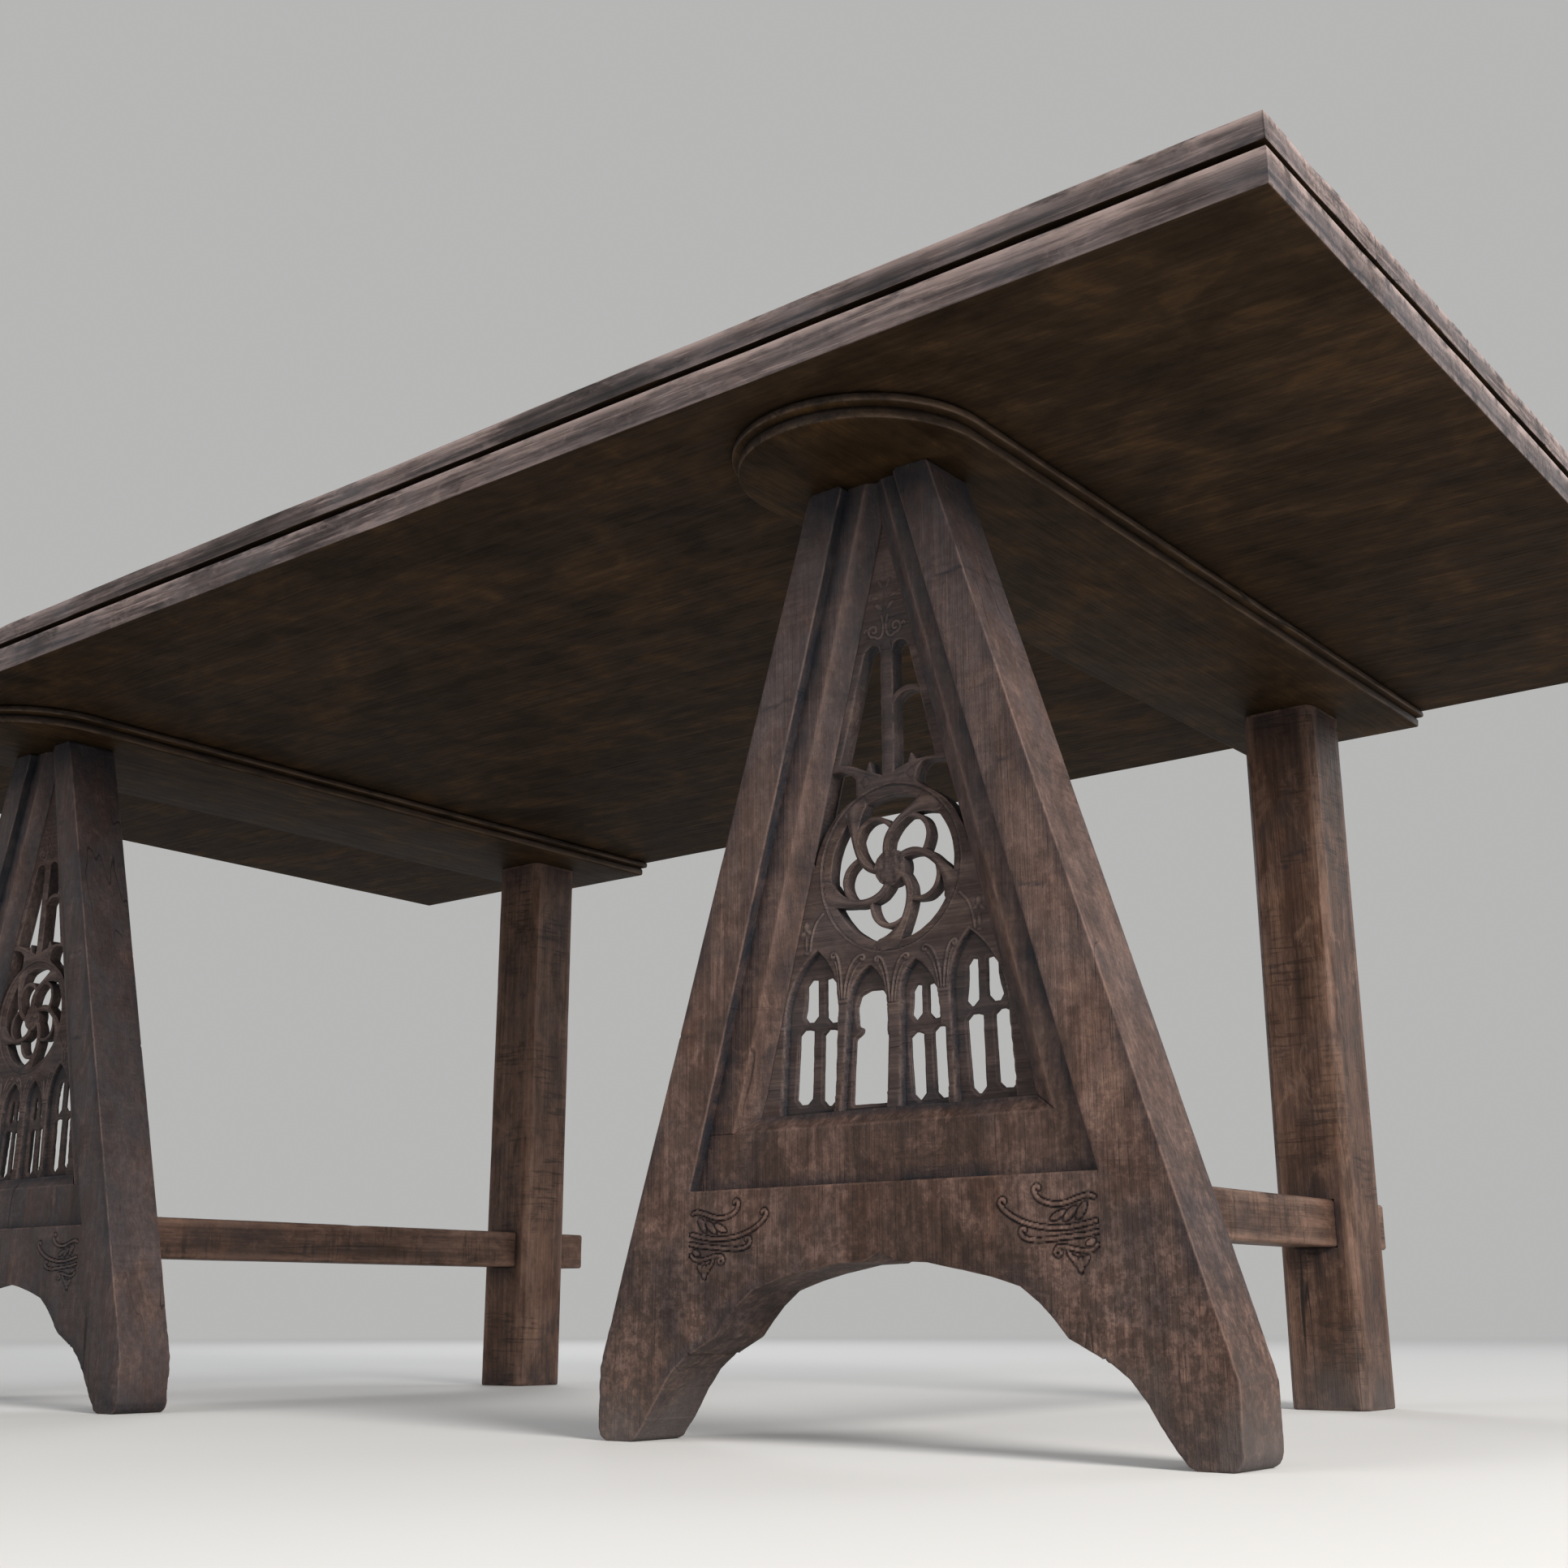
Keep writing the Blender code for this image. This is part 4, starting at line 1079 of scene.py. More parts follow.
def bearer(side):
    """A plank from front to back under the top, with a half-round front end."""
    low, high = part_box(f"bearer_{side}")
    cx, half, back = middle(low.x, high.x), (high.x - low.x) / 2, high.y
    arc_steps = 64
    outline = []  # x, y, outward x, outward y
    for i in range(arc_steps + 1):
        angle = math.pi * i / arc_steps
        ux, uy = -math.cos(angle), -math.sin(angle)
        outline.append((cx + half * ux, FRONT_Y + half * uy, ux, uy))
    straight = np.linspace(FRONT_Y, back, 90)[1:-1]
    outline += [(cx + half, y, 1.0, 0.0) for y in straight]
    outline.append((cx + half, back, 1.0, 1.0))
    outline += [(x, back, 0.0, 1.0) for x in np.linspace(cx + half, cx - half, 20)[1:-1]]
    outline.append((cx - half, back, -1.0, 1.0))
    outline += [(cx - half, y, -1.0, 0.0) for y in straight[::-1]]
    x, y, out_x, out_y = np.array(outline).T
    run = np.cumsum(np.r_[0, np.hypot(np.diff(x), np.diff(y))])
    seed = 3 if side == "right" else 8
    sections, wear, cavity = [], [], []
    for base, rise, inset, row_wear_and_highlight, row_cavity in BEARER_PROFILE:
        z = base + rise
        wobble = 0.00045 * noise(run * 7, z * 60, seed=seed)
        wobble = wobble + 0.00030 * noise(run * 31, z * 200, seed=seed + 1)
        off = inset + np.maximum(wobble, -inset * 0.6) + 0.0003
        sections.append(np.stack([x - out_x * off, y - out_y * off, np.full(len(x), z)], 1))
        wear.append(np.full(len(x), row_wear_and_highlight))
        cavity.append(np.full(len(x), row_cavity))
    obj = loft(f"bearer_plank_{side}", sections, wear, cavity)
    finish_piece(obj, f"bearer_{side}", BEARER_OAK, 60)


# ------------------------------------------------------- posts, stretchers
END_ROUND = 0.0022
BAR_STEP = 0.008


def bar_ring(half_u, half_v, chamfer, ease):
    """Points round a chamfered bar, and 1 for those at its corners."""
    u, v = half_u - chamfer, half_v - chamfer
    corners = rounded([
        (u, -half_v), (half_u, -v), (half_u, v), (u, half_v),
        (-u, half_v), (-half_u, v), (-half_u, -v), (-u, -half_v),
    ], ease, 3)
    points, at_corner = [], []
    for a, b in zip(corners, corners[1:] + corners[:1]):
        points.append(a)
        at_corner.append(1.0)
        gap = math.hypot(b[0] - a[0], b[1] - a[1])
        if gap > 0.012:
            count = int(gap / BAR_STEP)
            for i in range(1, count):
                t = i / count
                points.append((a[0] + (b[0] - a[0]) * t, a[1] + (b[1] - a[1]) * t))
                at_corner.append(0.0)
    return np.array(points), np.array(at_corner)


def bar(name, axis, start, end, centre, halves, chamfer, ease, seed, round_ends):
    """A bar along z or y with chamfered, worn corners; centre and halves are across it."""
    ring, at_corner = bar_ring(*halves, chamfer, ease)
    outward = ring / np.hypot(ring[:, 0], ring[:, 1])[:, None]
    stops = [start, start + 0.0006, start + 0.0016, start + 0.004]
    stops += list(np.linspace(start + 0.010, end - 0.010, max(3, int((end - start) / BAR_STEP))))
    stops += [end - 0.004, end - 0.0016, end - 0.0006, end]
    sections, wear = [], []
    for stop in stops:
        to_end = min(stop - start, end - stop)
        rounds = round_ends[0] if stop - start < end - stop else round_ends[1]
        shrink = 0.0
        if rounds and to_end < END_ROUND:
            shrink = END_ROUND - math.sqrt(
                max(0.0, END_ROUND**2 - (END_ROUND - to_end) ** 2))
        push = 0.00040 * noise(ring[:, 0] * 20, ring[:, 1] * 20, stop * 6, seed=seed)
        nick = noise(ring[:, 0] * 60, ring[:, 1] * 60, stop * 22, seed=seed + 3)
        nick = clip01(nick - 0.50) * at_corner * 0.0035
        at = ring + outward * (-np.abs(push) - nick - shrink)[:, None]
        columns = [centre[0] + at[:, 0], centre[1] + at[:, 1]]
        columns.insert(2 if axis == "z" else 1, np.full(len(at), stop))
        sections.append(np.stack(columns, 1))
        # corners painted paler: partly wear, partly a painted highlight
        wear.append(at_corner * 0.9 if to_end > 0.003 else np.full(len(at), 0.6))
    return loft(name, sections, wear)


def cut_hole(obj, low, high):
    """Cuts a square hole with a real wall."""
    corners = [(x, y, z) for x in (low[0], high[0]) for y in (low[1], high[1])
               for z in (low[2], high[2])]
    faces = [(0, 1, 3, 2), (4, 6, 7, 5), (0, 4, 5, 1), (2, 3, 7, 6), (0, 2, 6, 4), (1, 5, 7, 3)]
    mesh = bpy.data.meshes.new("cutter")
    mesh.from_pydata(corners, [], faces)
    cutter = linked_object("cutter", mesh)
    hole = obj.modifiers.new("hole", "BOOLEAN")
    hole.operation = "DIFFERENCE"
    hole.solver = "EXACT"
    hole.object = cutter
    graph = bpy.context.evaluated_depsgraph_get()
    graph.update()
    cut_mesh = bpy.data.meshes.new_from_object(obj.evaluated_get(graph))
    obj.modifiers.clear()
    old = obj.data
    obj.data = cut_mesh
    bpy.data.meshes.remove(old)
    bpy.data.objects.remove(cutter, do_unlink=True)


def post_and_stretcher(side):
    """The rear post, and the low stretcher that passes through a hole in it."""
    low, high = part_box(f"rear_post_{side}")
    rail_low, rail_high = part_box(f"stretcher_{side}")
    cx = middle(low.x, high.x)
    seed = 41 if side == "right" else 57
    post = bar(
        f"rear_post_square_{side}", "z", start=0.0, end=POST_HIGH,
        centre=(cx, middle(low.y, high.y)),
        halves=((high.x - low.x) / 2 - 0.0001, (high.y - low.y) / 2 - 0.0001),
        chamfer=0.0060, ease=0.0016, seed=seed, round_ends=(True, False),
    )
    slack = 0.0005
    cut_hole(
        post, (rail_low.x - slack, low.y - 0.02, rail_low.z - slack),
        (rail_high.x + slack, high.y + 0.02, rail_high.z + slack),
    )
    finish_piece(post, f"rear_post_{side}", POST_OAK[side], 50)
    rail = bar(
        f"low_stretcher_{side}", "y", start=FRONT_Y + 0.0560, end=rail_high.y,
        centre=(cx, middle(rail_low.z, rail_high.z)),
        halves=((rail_high.x - rail_low.x) / 2, (rail_high.z - rail_low.z) / 2),
        chamfer=0.0022, ease=0.0010, seed=seed + 9, round_ends=(False, True),
    )
    finish_piece(rail, f"stretcher_{side}", RAIL_OAK[side], 50)


# ------------------------------------------------------- A-frame: surfaces
def wobble(x, z, side):
    """The frame's outline wanders a little, the same way for each of its pieces."""
    seed = 100 if side == "right" else 200
    hand = np.sign(x) * 3.3
    dx = 0.00028 * noise(z * 16, hand, seed=seed) + 0.00016 * noise(z * 52, hand, seed=seed + 1)
    dz = 0.00070 * noise(x * 22, seed=seed + 2) * ramp(z, 0.01, 0.05)
    return x + dx, z + dz


def hand_worked(x, z, seed):
    """Depth of the shallow unevenness of a face."""
    return np.abs(
        0.00028 * noise(x * 30, z * 9, seed=seed) + 0.00012 * noise(x * 110, z * 30, seed=seed + 1))


def floor_pits(x, z, height, skin):
    """Depth of the pitting near the floor."""
    pits = np.clip(0.5 + layered_noise(x * 95, z * 95, seed=skin + 15), 0, 2)
    return ramp(height, 0.22, 0.04) * 0.0009 * pits


# patches that vary the dirt and painted shade near edges
def dirt_and_shade_patches(x, z, skin):
    return clip01(
        0.45 + 0.9 * noise(z * 11, x * 11, seed=skin + 21)
        + 0.4 * noise(z * 47, x * 47, seed=skin + 22))


# painted shade along an edge, 20 mm wide, in patches
def painted_edge_shade(distance, patches):
    return fade(distance, 0.020) ** 1.4 * 0.85 * patches


# ----------------------------------------------------------- A-frame: legs
# scratches across the right and left leg: height, slope
LEG_MARKS = {1: [(0.634, 0.10), (0.512, -0.16), (0.845, 0.05)], -1: [(0.742, -0.12), (0.395, 0.10)]}


def leg(side, hand):
    outer = [
        (FOOT_HALF - 0.010, 0.0), (FOOT_HALF - 0.0028, 0.0045), (FOOT_HALF, 0.012),
        (FOOT_HALF, FOOT_STRAIGHT), (FRAME_TOP_HALF, FRAME_TOP),
    ]
    inner_edge = [(recess_half(FRAME_TOP), FRAME_TOP), (RECESS_HALF, RECESS_FOOT)]
    foot = [point for point in ARCH if point[0] > RECESS_HALF + 0.002]
    under = [ARCH_AT_LEG] + foot[::-1]
    seed = (301 if hand > 0 else 331) + (0 if side == "right" else 50)
    skin = SKIN_SEED[side]

    def leg_point(x, z):
        across, up = wobble(x, z, side)
        return hand * across, up

    def inside(x, z):
        return -poly_dist(*leg_point(x, z), outer + inner_edge + under)

    def face(x, z, is_back):
        across, up = leg_point(x, z)
        depth = hand_worked(x, z, skin + is_back) + floor_pits(x, z, up, skin)
        patches = dirt_and_shade_patches(x, z, skin)
        # painted shade along the outer and lower edges, and dirt with painted shade beside the
        # recess step
        cavity = painted_edge_shade(line_dist(across, up, under + outer), patches)
        inner_gap = line_dist(across, up, inner_edge)
        cavity = np.maximum(cavity, fade(inner_gap, 0.012) * 0.35 * patches)
        # painted shade at the top of the leg, under the bearer and the top
        cavity = np.maximum(cavity, 0.8 * ramp(up, 0.885, 0.965))
        for height, slope in LEG_MARKS[hand]:
            mark_seed = seed + int(height * 100)
            wander = 0.0016 * noise(x * 90, seed=mark_seed)
            off = np.abs(up - height - slope * (across - 0.15) - wander)
            mark = fade(off, 0.0030) * clip01(0.6 + noise(x * 45, seed=mark_seed + 3))
            depth = depth + 0.0011 * mark
            cavity = np.maximum(cavity, 0.85 * mark)
        return depth, np.zeros_like(x), cavity

    def front(x, z):
        return face(x, z, 0)

    def back(x, z):
        depth, wear, cavity = face(x, z, 1)
        return THICK - depth, wear, cavity

    def wall_dirt_and_shade(x, z):
        # dirt and painted shade on the wall of the recess step
        return np.where(line_dist(*leg_point(x, z), inner_edge) < 0.006, 0.95, 0.0)

    def flush(x, z):
        return ((hand * x < RECESS_HALF + 0.0040) & (z < RECESS_FOOT - 0.0005)).astype(float)

    x0, x1 = sorted((hand * 0.020, hand * 0.366))
    part = which(side, hand)
    obj = relief(
        f"frame_leg_{part}_{side}", side, (x0, x1, -0.004, 0.982), 0.0024, inside, front, back,
        ease=0.0022, wall_dirt_and_shade=wall_dirt_and_shade, flush=flush)
    finish_piece(obj, f"leg_{part}_{side}", FRAME_OAK[side], 40)


# ------------------------------------------------------ A-frame: foot rail
# carved leaves of the right half: centre x, centre z, radius x, radius z, turn in degrees
RAIL_LEAVES = [
    (0.1945, 0.2075, 0.0080, 0.0030, 24), (0.2065, 0.2085, 0.0085, 0.0032, 42),
    (0.2185, 0.2110, 0.0085, 0.0032, 58), (0.2155, 0.1650, 0.0030, 0.0068, 0),
    (0.2200, 0.1680, 0.0028, 0.0056, -38), (0.2110, 0.1680, 0.0028, 0.0056, 38),
    (0.2262, 0.1836, 0.0050, 0.0026, 30),
]
# carved scrolls of the right half: (curl as for spiral, knots of the stem, half width, height)
RAIL_SCROLLS = [
    ((0.1745, 0.2312, 0.0018, 0.0036, 20, 200, 12), [
        (0.1712, 0.2300), (0.1735, 0.2245), (0.1800, 0.2203), (0.1900, 0.2175),
        (0.2020, 0.2180), (0.2140, 0.2215), (0.2250, 0.2240), (0.2310, 0.2225),
    ], 0.0017, 0.0024),
    ((0.1385, 0.2207, 0.0018, 0.0037, 20, 205, 12), [
        (0.1352, 0.2190), (0.1390, 0.2142), (0.1470, 0.2085), (0.1570, 0.2035), (0.1700, 0.1995),
        (0.1860, 0.1972), (0.2030, 0.1970), (0.2190, 0.1990), (0.2320, 0.2018),
    ], 0.0017, 0.0024),
    ((0.1592, 0.1952, 0.0016, 0.0034, 20, 205, 12), [
        (0.1560, 0.1935), (0.1590, 0.1895), (0.1680, 0.1870), (0.1800, 0.1868),
        (0.1930, 0.1878), (0.2070, 0.1890), (0.2210, 0.1902), (0.2330, 0.1925),
    ], 0.0016, 0.0022),
    (None, [
        (0.1905, 0.1760), (0.1930, 0.1800), (0.2000, 0.1806), (0.2090, 0.1785),
        (0.2190, 0.1768), (0.2280, 0.1775), (0.2325, 0.1815),
    ], 0.0015, 0.0019),
    ((0.1940, 0.1757, 0.0036, 0.0016, 160, 470, 16), None, 0.0012, 0.0016),
    (None, [(0.2030, 0.1800), (0.2050, 0.1740), (0.2090, 0.1690)], 0.0014, 0.0014),
]


def rail_carving(x, z):
    """Height of the scrolls and leaves, and the cut ground round them (0 to 1)."""
    raised = np.zeros_like(x)
    ground = np.zeros_like(x)
    for curl, knots, half, height in RAIL_SCROLLS:
        line = (spiral(*curl) if curl else []) + (spline(knots) if knots else [])
        distance = line_dist(x, z, line)
        half = half * 1.16
        raised = np.maximum(raised, height * np.sqrt(clip01(1 - (distance / half) ** 2)))
        ground = np.maximum(ground, near(distance, half * 1.15, 0.0012))
    for cx, cz, rx, rz, degrees in RAIL_LEAVES:
        lump = dome(x, z, cx, cz, rx, rz, degrees)
        ring = dome(x, z, cx, cz, rx * 1.35, rz * 1.45, degrees)
        turn = math.radians(degrees)
        off_rib = -(x - cx) * math.sin(turn) + (z - cz) * math.cos(turn)
        rib = 1 - 0.5 * near(off_rib, 0, 0.0007)
        raised = np.maximum(raised, 0.0020 * lump * rib)
        ground = np.maximum(ground, clip01(ring * 1.4) * (lump <= 0))
    return raised, ground


def foot_rail(side):
    right = [
        ARCH[-1], *[point for point in ARCH[::-1] if 0 < point[0] < RECESS_HALF - 0.002],
        ARCH_AT_LEG, (RECESS_HALF, RECESS_FOOT), (recess_half(BORDER_HIGH), BORDER_HIGH),
        (field_half(BORDER_HIGH) + BEVEL, BORDER_HIGH), (field_half(FIELD_FOOT), FIELD_FOOT),
    ]
    outline = right + mirrored(right[:0:-1], -1)
    under = mirrored(ARCH[:-1], -1) + ARCH[::-1]
    seed = 401 if side == "right" else 451
    skin = SKIN_SEED[side]

    def inside(x, z):
        return -poly_dist(*wobble(x, z, side), outline)

    def face(x, z, is_back):
        # below the recess: a plain face with a worn upper arris, painted paler (partly a painted
        # highlight)
        to_rim = clip01(RECESS_FOOT + 0.0001 - z)
        below = hand_worked(x, z, skin + is_back) + arris_drop(to_rim, 0.0016)
        patches = dirt_and_shade_patches(x, z, skin)
        # painted shade along the arched underside
        cavity = painted_edge_shade(line_dist(*wobble(x, z, side), under), patches)
        # above: a steep step in, a flat border, then the bevel
        step = ramp(z, RECESS_FOOT + 0.0001, RECESS_FOOT + 0.0011)
        slope = clip01((z - BORDER_HIGH) / (FIELD_FOOT - BORDER_HIGH))
        head = BORDER_Y * step + (BEAD_LIP_Y - BORDER_Y) * slope
        depth = np.where(step > 0, head + below * (1 - step), below)
        on_head = z > RECESS_FOOT + 0.0002
        bevel_arris = near(z, BORDER_HIGH, 0.0016)
        # paler arrises: partly wear, partly a painted highlight
        wear = np.where(on_head, bevel_arris * 0.55, fade(to_rim, 0.0024) * 0.7)
        depth = np.where(on_head, depth + 0.0004 * bevel_arris**2, depth)
        # dirt and painted shade in the recess: above its foot, along its sides, and at the field's
        # foot
        dirt_and_shade = fade(z - RECESS_FOOT, 0.020) ** 1.3 * np.clip(
            0.6 + 0.8 * noise(x * 30, z * 20, seed=seed + 33), 0.25, 1)
        sides = fade(recess_half(z) - np.abs(x), 0.026) ** 1.3 * 0.9
        cavity = np.where(on_head, np.maximum(np.maximum(dirt_and_shade, sides), 0.10), cavity)
        cavity = np.maximum(cavity, 0.75 * ramp(z, FIELD_FOOT - 0.012, FIELD_FOOT))
        return depth, wear, cavity

    def front(x, z):
        depth, wear, cavity = face(x, z, 0)
        raised, ground = rail_carving(np.abs(x), z)
        soft = 0.00018 * noise(x * 190, z * 190, seed=seed + 30)
        cut_in = ground * 0.0016 * (raised <= 0)
        depth = (
            depth + 0.0004 * clip01(ground * 2) + cut_in - raised * 0.80 + soft * (raised > 0)
            + floor_pits(x, z, z, skin)
        )
        # raised carving painted paler on top (partly wear, partly painted highlight), its cut ground
        # darker (painted shade)
        wear = np.maximum(wear, clip01(raised / 0.0022 - 0.45) * 0.75)
        cavity = np.maximum(cavity, ground * (raised <= 0) * 0.48)
        return np.maximum(depth, -0.0011), wear, cavity

    def back(x, z):
        depth, wear, cavity = face(x, z, 1)
        return THICK - depth, wear, cavity

    def flush(x, z):
        return ((np.abs(x) > RECESS_HALF - 0.0034) | (z > RECESS_FOOT)).astype(float)

    step = 0.0012
    bounds = (-0.2406, 0.2405, RECESS_FOOT - 146 * step, 0.3185)  # a row lies on the recess foot
    obj = relief(
        f"arched_foot_rail_{side}", side, bounds, step, inside, front, back, ease=0.0018,
        flush=flush)
    finish_piece(obj, f"foot_rail_{side}", FRAME_OAK[side], 55)


# ------------------------------------------------------ A-frame: mouldings
# across a moulding, from the recess edge inward and back: kind, place, y shift, wear (with painted
# highlight), cavity (painted shade in the creases)
BEAD_SECTION = [
    ("border", 0.0, 0, 0.0, 1.0), ("border", 0.10, 0, 0.0, 0.98), ("border", 0.26, 0, 0.0, 0.85),
    ("border", 0.46, 0, 0.0, 0.45), ("border", 0.68, 0, 0.0, 0.18),
    ("arris", 0.0016, 0.0002, 0.45, 0.05), ("arris", 0.0004, 0.0002, 0.9, 0.0),
    ("arris", -0.0010, 0.0014, 0.5, 0.05),
    ("slope", 0.33, 0.0004, 0.05, 0.22), ("slope", 0.66, 0.0004, 0.0, 0.45),
    ("lip", 0.0012, -0.0006, 0.30, 0.75), ("lip", 0.0002, 0.0002, 0.6, 0.6),
    ("inner_root", 0.0, 0, 0.2, 0.8), ("outer_root", 0.0, 0, 0.0, 0.5),
]
BEAD_STEPS = 130


def bead_point(kind, place, y_shift, t, seed):
    """A point of the section, t of the way from the moulding's foot to its top."""
    foot = FIELD_FOOT if kind in ("lip", "inner_root") else BORDER_HIGH
    if kind == "slope":
        foot = BORDER_HIGH + (FIELD_FOOT - BORDER_HIGH) * place
    z = foot + (BEAD_TOP - foot) * t
    outer = recess_half(z) + 0.0016
    brow = field_half(z) + BEVEL
    inner = max(field_half(z), -0.0003)
    drop = (BEAD_LIP_Y - BORDER_Y) * min(1.0, (brow - inner) / BEVEL)
    wander = 0.00035 * float(noise(z * 40, place * 3, seed=seed))
    wander += 0.00020 * float(noise(z * 140, place * 9, seed=seed + 1))
    if kind == "border":
        return outer + (brow + 0.003 - outer) * place / 0.72, BORDER_Y + abs(wander) * 0.6, z
    if kind == "arris":
        return brow + place + wander, BORDER_Y + y_shift, z
    if kind == "slope":
        return brow + (inner - brow) * place, BORDER_Y + drop * place + y_shift + abs(wander), z
    if kind == "lip":
        return inner + place + wander * 0.5, BORDER_Y + drop + y_shift, z
    return (inner + wander * 0.5 if kind == "inner_root" else outer), PANEL_Y0 + 0.0006, z


def bead(side, hand, face):
    """The bevelled moulding along one leg, on the front or back face."""
    seed = (501 if hand > 0 else 521) + (0 if side == "right" else 40)
    seed += 0 if face == "front" else 7
    row_wear_and_highlight, row_cavity = (np.array([row[k] for row in BEAD_SECTION]) for k in (3, 4))
    sections, cavity = [], []
    for i in range(BEAD_STEPS + 1):
        t = i / BEAD_STEPS
        ring = np.array([bead_point(*row[:3], t, seed) for row in BEAD_SECTION])
        ring[:, 0] *= hand
        if face == "back":
            ring[:, 1] = THICK - ring[:, 1]
        sections.append(to_table(ring, side))
        cavity.append(row_cavity * (0.8 + 0.3 * float(noise(t * 30, seed=seed + 4))))
    part = which(side, hand)
    obj = loft(f"{face}_moulding_{part}_{side}", sections, [row_wear_and_highlight] * len(sections), cavity)
    finish_piece(obj, f"{face}_bead_{part}_{side}", FRAME_OAK[side], 50)


# --------------------------------------------------- tracery: the drawing
ROSE_Z, ROSE_OPENING, ROSE_HUB = 0.557, 0.0755, 0.0185
CUSP_HALF, ARC_HALF = 0.0027, 0.0024  # half widths of the cusp bar and of the rose's arcs
# blind arches: left foot, left shoulder, tip, right shoulder, right foot
ARCHES = [
    ((-0.1398, 0.300), (-0.1325, 0.4223), (-0.0916, 0.4825), (-0.0655, 0.4290), (-0.0720, 0.300)),
    ((-0.0650, 0.300), (-0.0541, 0.4180), (-0.0257, 0.4605), (-0.0060, 0.4180), (-0.0075, 0.300)),
    ((0.0080, 0.300), (0.0107, 0.4180), (0.0289, 0.4605), (0.0552, 0.4180), (0.0664, 0.300)),
    ((0.0735, 0.300), (0.0686, 0.4223), (0.0925, 0.4825), (0.1323, 0.4223), (0.1414, 0.300)),
]
# pierced lights, a group to each arch: left, right, sill, head, how far the head leans in at
# the left and at the right, and the drop of its left and right shoulder
LIGHTS = [
    [
        (-0.1245, -0.1045, 0.3275, 0.4030, 0.0050, 0.0027, 0.012, 0.004),
        (-0.0905, -0.0750, 0.3250, 0.4010, 0.0020, 0.0045, 0.012, 0.004),
        (-0.1145, -0.0962, 0.4105, 0.4535, 0.0050, 0.0, 0.024, 0.002),
        (-0.0848, -0.0668, 0.4080, 0.4535, 0.0, -0.0060, 0.002, 0.022),
    ],
    [
        (-0.0560, -0.0345, 0.3234, 0.3900, 0.0040, 0.0020, 0.010, 0.004),
        (-0.0245, -0.0085, 0.3234, 0.3900, 0.0, 0.0, 0.010, 0.004),
        (-0.0470, -0.0325, 0.4010, 0.4350, 0.0050, 0.0, 0.018, 0.002),
        (-0.0235, -0.0075, 0.4010, 0.4350, 0.0, -0.0050, 0.002, 0.018),
    ],
    [
        (0.0205, 0.0339, 0.3234, 0.3885, -0.0030, -0.0014, 0.010, 0.004),
        (0.0470, 0.0640, 0.3234, 0.3920, -0.0022, -0.0022, 0.010, 0.004),
        (0.0185, 0.0311, 0.4010, 0.4350, 0.0030, 0.0, 0.018, 0.002),
        (0.0402, 0.0568, 0.4007, 0.4350, 0.0, -0.0070, 0.002, 0.018),
    ],
    [
        (0.0877, 0.1023, 0.3250, 0.4000, -0.0042, -0.0010, 0.012, 0.004),
        (0.1175, 0.1375, 0.3280, 0.4020, -0.0025, -0.0060, 0.010, 0.006),
        (0.0823, 0.0966, 0.4080, 0.4535, 0.0040, 0.0, 0.020, 0.002),
        (0.1084, 0.1266, 0.4110, 0.4535, 0.0, -0.0070, 0.002, 0.022),
    ],
]
# the right trestle's second group is broken out into one hole
BROKEN_GROUP = 1
BROKEN = [
    (-0.0530, 0.3234), (-0.0085, 0.3234), (-0.0050, 0.3890), (-0.0110, 0.3925), (-0.0110, 0.3985),
    (-0.0060, 0.4010), (-0.0075, 0.4220), (-0.0150, 0.4350), (-0.0290, 0.4355), (-0.0420, 0.4310),
    (-0.0465, 0.4190), (-0.0450, 0.4005), (-0.0385, 0.3985), (-0.0395, 0.3935), (-0.0490, 0.3880),
]
# upper edge of the openings beside the rose
FLANK_CROWNS = {
    -1: [(-0.0405, 0.6555), (-0.0450, 0.6600), (-0.0520, 0.6640), (-0.0600, 0.6668),
         (-0.0700, 0.6668)],
    1: [(0.0335, 0.6420), (0.0345, 0.6500), (0.0400, 0.6585), (0.0470, 0.6612), (0.0700, 0.6595)],
}
# lower edge of the lancets above the rose, and the head of the right one
LANCET_SILLS = {
    -1: [(-0.0075, 0.6545), (-0.0150, 0.6575), (-0.0195, 0.6600), (-0.0222, 0.6725),
         (-0.0245, 0.6700), (-0.0275, 0.6625), (-0.0400, 0.6680), (-0.0480, 0.6705),
         (-0.0600, 0.6750)],
    1: [(0.0075, 0.6565), (0.0145, 0.6590), (0.0250, 0.6620), (0.0285, 0.6725), (0.0312, 0.6690),
        (0.0345, 0.6640), (0.0480, 0.6645), (0.0585, 0.6640)],
}
LANCET_HEAD = [
    (0.0292, 0.7840), (0.0262, 0.7918), (0.0208, 0.7955), (0.0150, 0.7962), (0.0100, 0.7935),
    (0.0075, 0.7870),
]
# vines that rise between the arches and curl over: start x, z, end x, z
VINES = [
    (-0.0588, 0.4300, -0.0700, 0.4770), (-0.0588, 0.4300, -0.0350, 0.4712),
    (-0.0005, 0.4215, -0.0160, 0.4672), (-0.0005, 0.4215, 0.0185, 0.4665),
    (0.0610, 0.4300, 0.0415, 0.4722), (0.0610, 0.4300, 0.0755, 0.4740),
]
# from the rose down to the shoulders of the outer arches, right half
OUTER_VINE = [
    (0.0835, 0.5190), (0.0905, 0.5125), (0.0952, 0.5040), (0.0985, 0.4930), (0.0997, 0.4830),
]
# capitals of the slender columns: x, z, half width
CAPITALS = [
    (-0.0590, 0.4265, 0.0075), (0.0010, 0.4180, 0.0085), (0.0615, 0.4265, 0.0075),
    (-0.1370, 0.4060, 0.0060), (0.1365, 0.4210, 0.0060),
]
